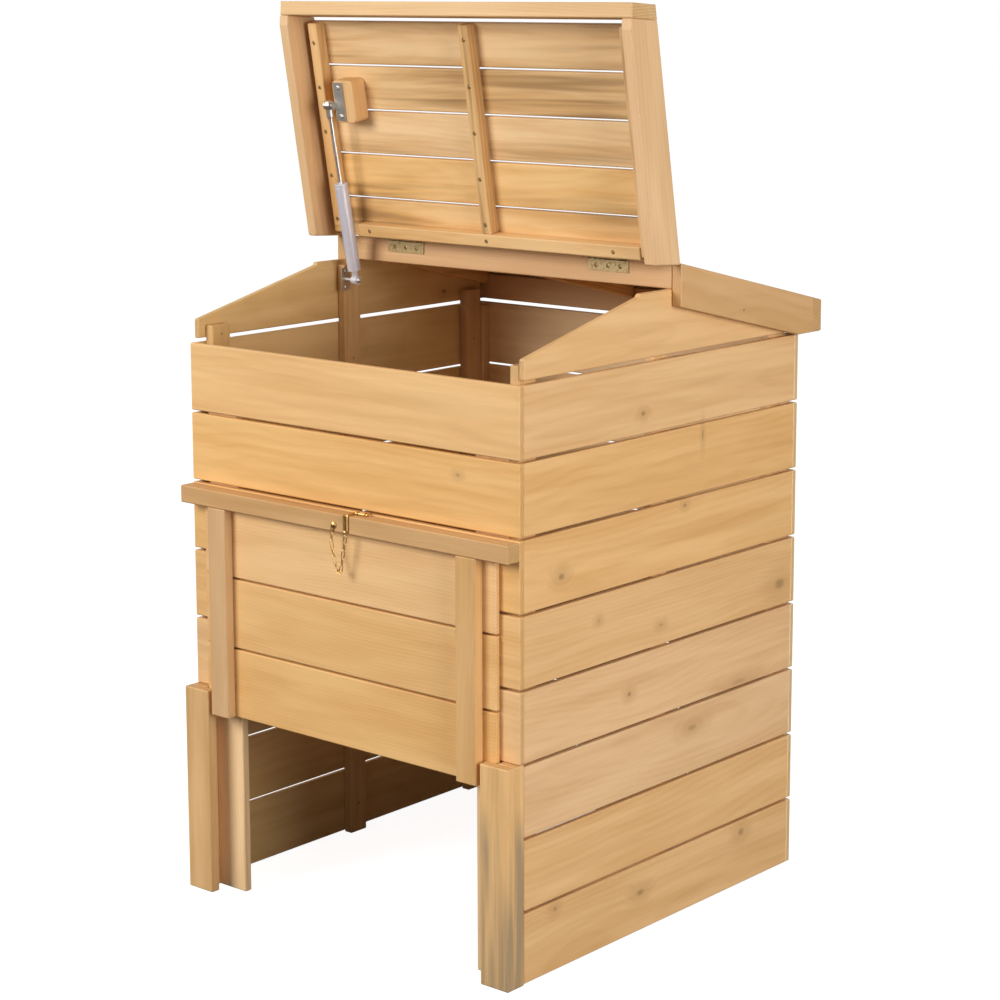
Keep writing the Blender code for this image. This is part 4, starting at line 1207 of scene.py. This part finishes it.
@dataclass
class Strut:
    """The gas strut between its two brackets: enamelled barrel, bright rod, end fittings."""

    foot: Vector = field(default_factory=lambda: Vector((-0.259, -0.026, 0.86395)))
    head: Vector = field(default_factory=lambda: Vector((-0.259, -0.07837, 1.12443)))
    barrel_start: float = 16.0 * MM
    barrel_length: float = 133.0 * MM
    stud_side: float = 5.5 * MM
    foot_screw: float = 12.0 * MM
    foot_plate: float = 1.5 * MM
    head_screw: float = 21.0 * MM
    head_plate_x: float = 19.8 * MM
    head_plate_s: float = 214.0 * MM
    head_plate_depth: float = 38.8 * MM
    bracket_screw: ScrewHead = field(default_factory=lambda: ScrewHead(
        radius=3.4 * MM, dome=1.6 * MM, depth=1.1 * MM))

    def build(self, finishes: Finishes) -> None:
        """Dress the strut and add its caps, nuts and screws.

        Args:
            finishes: All finishes of the bin.
        """
        dress(finishes["silver_enamelled_steel"], "strut_cylinder")
        dress(finishes["drawn_bright_steel"], "strut_rod")
        dress(finishes["zinc_plated_steel"], "strut_lower_bracket", "strut_upper_bracket")
        along = (self.head - self.foot).normalized()
        top = self.foot + along * (self.barrel_start + self.barrel_length)
        cap = [(r * MM, z * MM) for r, z in (
            (3.4, -0.4), (9.2, -0.4), (9.95, -1.4), (9.95, -4.6), (9.75, -5.0), (9.75, -5.6),
            (9.9, -6.0), (9.9, -6.6), (9.6, -7.0))]
        add_piece("strut_barrel_cap", turned("strut_barrel_cap", cap[::-1], facing(top, along)),
                  finishes["silver_enamelled_steel"], "strut_barrel")
        sleeve = [(r * MM, z * MM) for r, z in (
            (0.0, -7.4), (3.2, -7.2), (4.9, -5.8), (5.9, -3.4), (6.2, 0.0), (5.9, 3.0), (5.4, 5.0),
            (5.3, 17.4), (4.8, 18.7), (3.1, 19.2))]
        fitting = turned("strut_head_fitting", sleeve, facing(self.head, -along))
        add_piece("strut_head_fitting", fitting, finishes["zinc_plated_steel"], "strut_piston")
        self.add_nuts(finishes)
        self.add_screws(finishes)
        LOG.info("strut dressed")

    def add_nuts(self, finishes: Finishes) -> None:
        """Put a flanged nut on each stud, outside the strut's eyes.

        Args:
            finishes: All finishes of the bin.
        """
        nut = [(r * MM, z * MM) for r, z in (
            (0.0, 0.0), (4.6, 0.0), (4.6, 0.7), (3.5, 1.2), (3.5, 3.4), (2.9, 3.9), (1.6, 3.9),
            (1.6, 4.9), (0.0, 4.9))]
        for name, point, side, body in (("strut_foot_nut", self.foot, 1.0, "strut_barrel"),
                                        ("strut_head_nut", self.head, -1.0, "strut_piston")):
            outward = Vector((side, 0.0, 0.0))
            place = facing(point + outward * self.stud_side, outward)
            add_piece(name, turned(name, nut, place, 6), finishes["zinc_plated_steel"], body)

    def add_screws(self, finishes: Finishes) -> None:
        """Put two screws in each bracket.

        Args:
            finishes: All finishes of the bin.
        """
        zinc = finishes["zinc_plated_steel"]
        low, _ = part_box("strut_lower_bracket")
        plate = low[0] + self.foot_plate
        foot_screws = []
        for side in (-1, 1):
            point = Vector((plate, self.foot.y, self.foot.z + side * self.foot_screw))
            foot_screws.append((self.bracket_screw, facing(point, Vector((1.0, 0.0, 0.0)), side)))
        screw_row("strut_foot_screws", foot_screws, zinc, "bin")
        inward = LID_SLOPE.to_3x3() @ Vector((0.0, 0.0, -1.0))
        heads = []
        for side in (-1, 1):
            along = -self.head_plate_s + side * self.head_screw
            plate_x = self.head.x + self.head_plate_x
            point = LID_SLOPE @ Vector((plate_x, along, -self.head_plate_depth))
            heads.append((self.bracket_screw, facing(point, inward, side)))
        screw_row("strut_head_screws", heads, zinc, "lid")


@dataclass
class Latch:
    """The hatch's wire latch: pin, eyes, knob and the thin chain between knob and pin."""

    leg: Vector = field(default_factory=lambda: Vector((0.030, -0.3273, 0.5986)))
    rail_shank: float = 3.5 * MM
    keeper_x: float = 0.0445
    keeper_bite: float = 2.0 * MM
    eye_radius: float = 2.7 * MM
    eye_wire: float = 0.85 * MM
    shortest_shank: float = 4.5 * MM
    board_face: float = FRONT_FACE_Y
    knob: Vector = field(default_factory=lambda: Vector((-0.001, -0.3412, 0.5815)))
    link_length: float = 12.6 * MM
    link_width: float = 5.4 * MM
    link_wire: float = 0.75 * MM
    link_turn: float = math.radians(22)
    chain_plane: float = -0.3429

    def build(self, finishes: Finishes) -> None:
        """Dress the pin and add the eyes, the knob and the chain.

        Args:
            finishes: All finishes of the bin.
        """
        brass = finishes["brass_plated_wire"]
        dress(brass, "latch_pin")
        down, inward = Vector((0.0, 0.0, -1.0)), Vector((0.0, 1.0, 0.0))
        rail_eye = self.eye("latch_rail_eye", self.leg, down, self.rail_shank)
        add_piece("latch_rail_eye", rail_eye, brass, "hatch")
        keeper = Vector((self.keeper_x, self.leg.y, self.leg.z))
        keeper_shank = self.board_face - self.leg.y + self.keeper_bite
        keeper_eye = self.eye("latch_keeper_eye", keeper, inward, keeper_shank)
        add_piece("latch_keeper_eye", keeper_eye, brass, "bin")
        outline = [(r * MM, z * MM) for r, z in (
            (0.0, 0.0), (4.7, 0.0), (4.9, 0.7), (4.7, 1.5), (4.0, 2.4), (2.8, 3.15), (1.3, 3.55),
            (0.0, 3.65))]
        knob = turned("latch_knob", outline, facing(self.knob, Vector((0.0, -1.0, 0.0))))
        add_piece("latch_knob", knob, brass, "hatch")
        add_piece("latch_chain", wire_mesh("latch_chain", self.links(), self.link_wire, 1), brass,
                  "hatch")
        LOG.info("latch dressed")

    def eye(self, name: str, centre: Vector, shank: Vector, length: float) -> Mesh:
        """Bend a screw eye round the pin's leg, which runs along X.

        Args:
            name: The mesh's name.
            centre: The middle of its ring.
            shank: The direction of its shank.
            length: How far its end lies from the ring's middle.

        Returns:
            The eye as a mesh.
        """
        start = math.atan2(shank.z, shank.y)
        turns = [start + math.tau * step / 28 for step in range(28)]
        ring = [centre + Vector((0.0, math.cos(turn), math.sin(turn))) * self.eye_radius
                for turn in turns]
        end = max(length, self.shortest_shank)
        stem = [centre + shank * self.eye_radius, centre + shank * end]
        return wire_mesh(name, [(ring, True), (stem, False)], self.eye_wire)

    def links(self) -> list[tuple[list[Vector], bool]]:
        """Lay the links one after the other from the knob, down and up to the pin's handle.

        Returns:
            Each link's wire as a closed line of points.
        """
        hang = [(-1.0, 581.0), (-3.6, 572.0), (-4.2, 561.0), (-2.0, 545.0),
                (3.0, 528.0), (8.6, 515.5), (11.0, 514.5), (12.8, 521.0),
                (15.6, 536.0), (19.2, 554.0), (22.0, 568.0), (22.5, 576.0)]
        line = [Vector((x * MM, self.chain_plane, z * MM)) for x, z in self.smooth(hang)]
        # Two wires lie inside each end of a link, with a little play.
        pitch = self.link_length - 2.6 * self.link_wire
        stops, walked = [line[0]], 0.0
        for before, after in zip(line, line[1:]):
            step = (after - before).length
            while walked + step >= pitch * len(stops):
                stops.append(before.lerp(after, (pitch * len(stops) - walked) / step))
            walked += step
        return [(self.link(a, b, 1 if number % 2 else -1), True)
                for number, (a, b) in enumerate(zip(stops, stops[1:]))]

    @staticmethod
    def smooth(points: Sequence[tuple[float, float]]) -> list[tuple[float, float]]:
        """Run a soft curve through points.

        Args:
            points: The points.

        Returns:
            Ten points for every stretch between two of them.
        """
        padded = [points[0], *points, points[-1]]
        out = []
        for a, b, c, d in zip(padded, padded[1:], padded[2:], padded[3:]):
            for step in range(10):
                t = step / 10
                out.append(tuple(0.5 * (2 * q + (r - p) * t + (2 * p - 5 * q + 4 * r - s) * t * t
                                        + (3 * q - p - 3 * r + s) * t ** 3)
                                 for p, q, r, s in zip(a, b, c, d)))
        return out + [points[-1]]

    def link(self, start: Vector, end: Vector, side: int) -> list[Vector]:
        """Bend one long link of the chain.

        Args:
            start: Where it hangs on the link before.
            end: Where the next one hangs on it.
            side: Which way it is turned about the chain.

        Returns:
            The points along its wire.
        """
        along = (end - start).normalized()
        turn = Matrix.Rotation(self.link_turn * side, 3, along)
        across = turn @ along.cross(Vector((0.0, -1.0, 0.0))).normalized()
        middle = (start + end) / 2
        bend = self.link_width / 2 - self.link_wire
        straight = self.link_length / 2 - self.link_wire - bend
        points = []
        for end_side in (1, -1):
            for step in range(7):
                angle = math.pi / 2 * end_side - math.pi * step / 6
                points.append(middle + along * (end_side * straight + bend * math.cos(angle))
                              + across * bend * math.sin(angle))
        return points


@dataclass
class Hinges:
    """The two butt hinges of the lid."""

    def dress(self, finishes: Finishes) -> None:
        """Give the leaves their finish.

        Args:
            finishes: All finishes of the bin.
        """
        # The leaves' tan is a painted reflection of the wood round them.
        dress(finishes["yellow_passivated_steel"],
              *[f"hinge_leaf_{leaf}_{side}" for leaf in ("fixed", "lid") for side in Side])
        LOG.info("hinges dressed")


def main() -> None:
    """Build the studio, the finishes and the pieces in order."""
    logging.basicConfig(level=logging.INFO, format="%(name)s: %(message)s")
    Studio().build()
    finishes = Finishes()
    finishes.build()
    for part in (Walls(), Hatch(), Roof(), Hinges()):
        part.dress(finishes)
    for part in (Screws(), Strut(), Latch()):
        part.build(finishes)


if __name__ == "__main__":
    main()
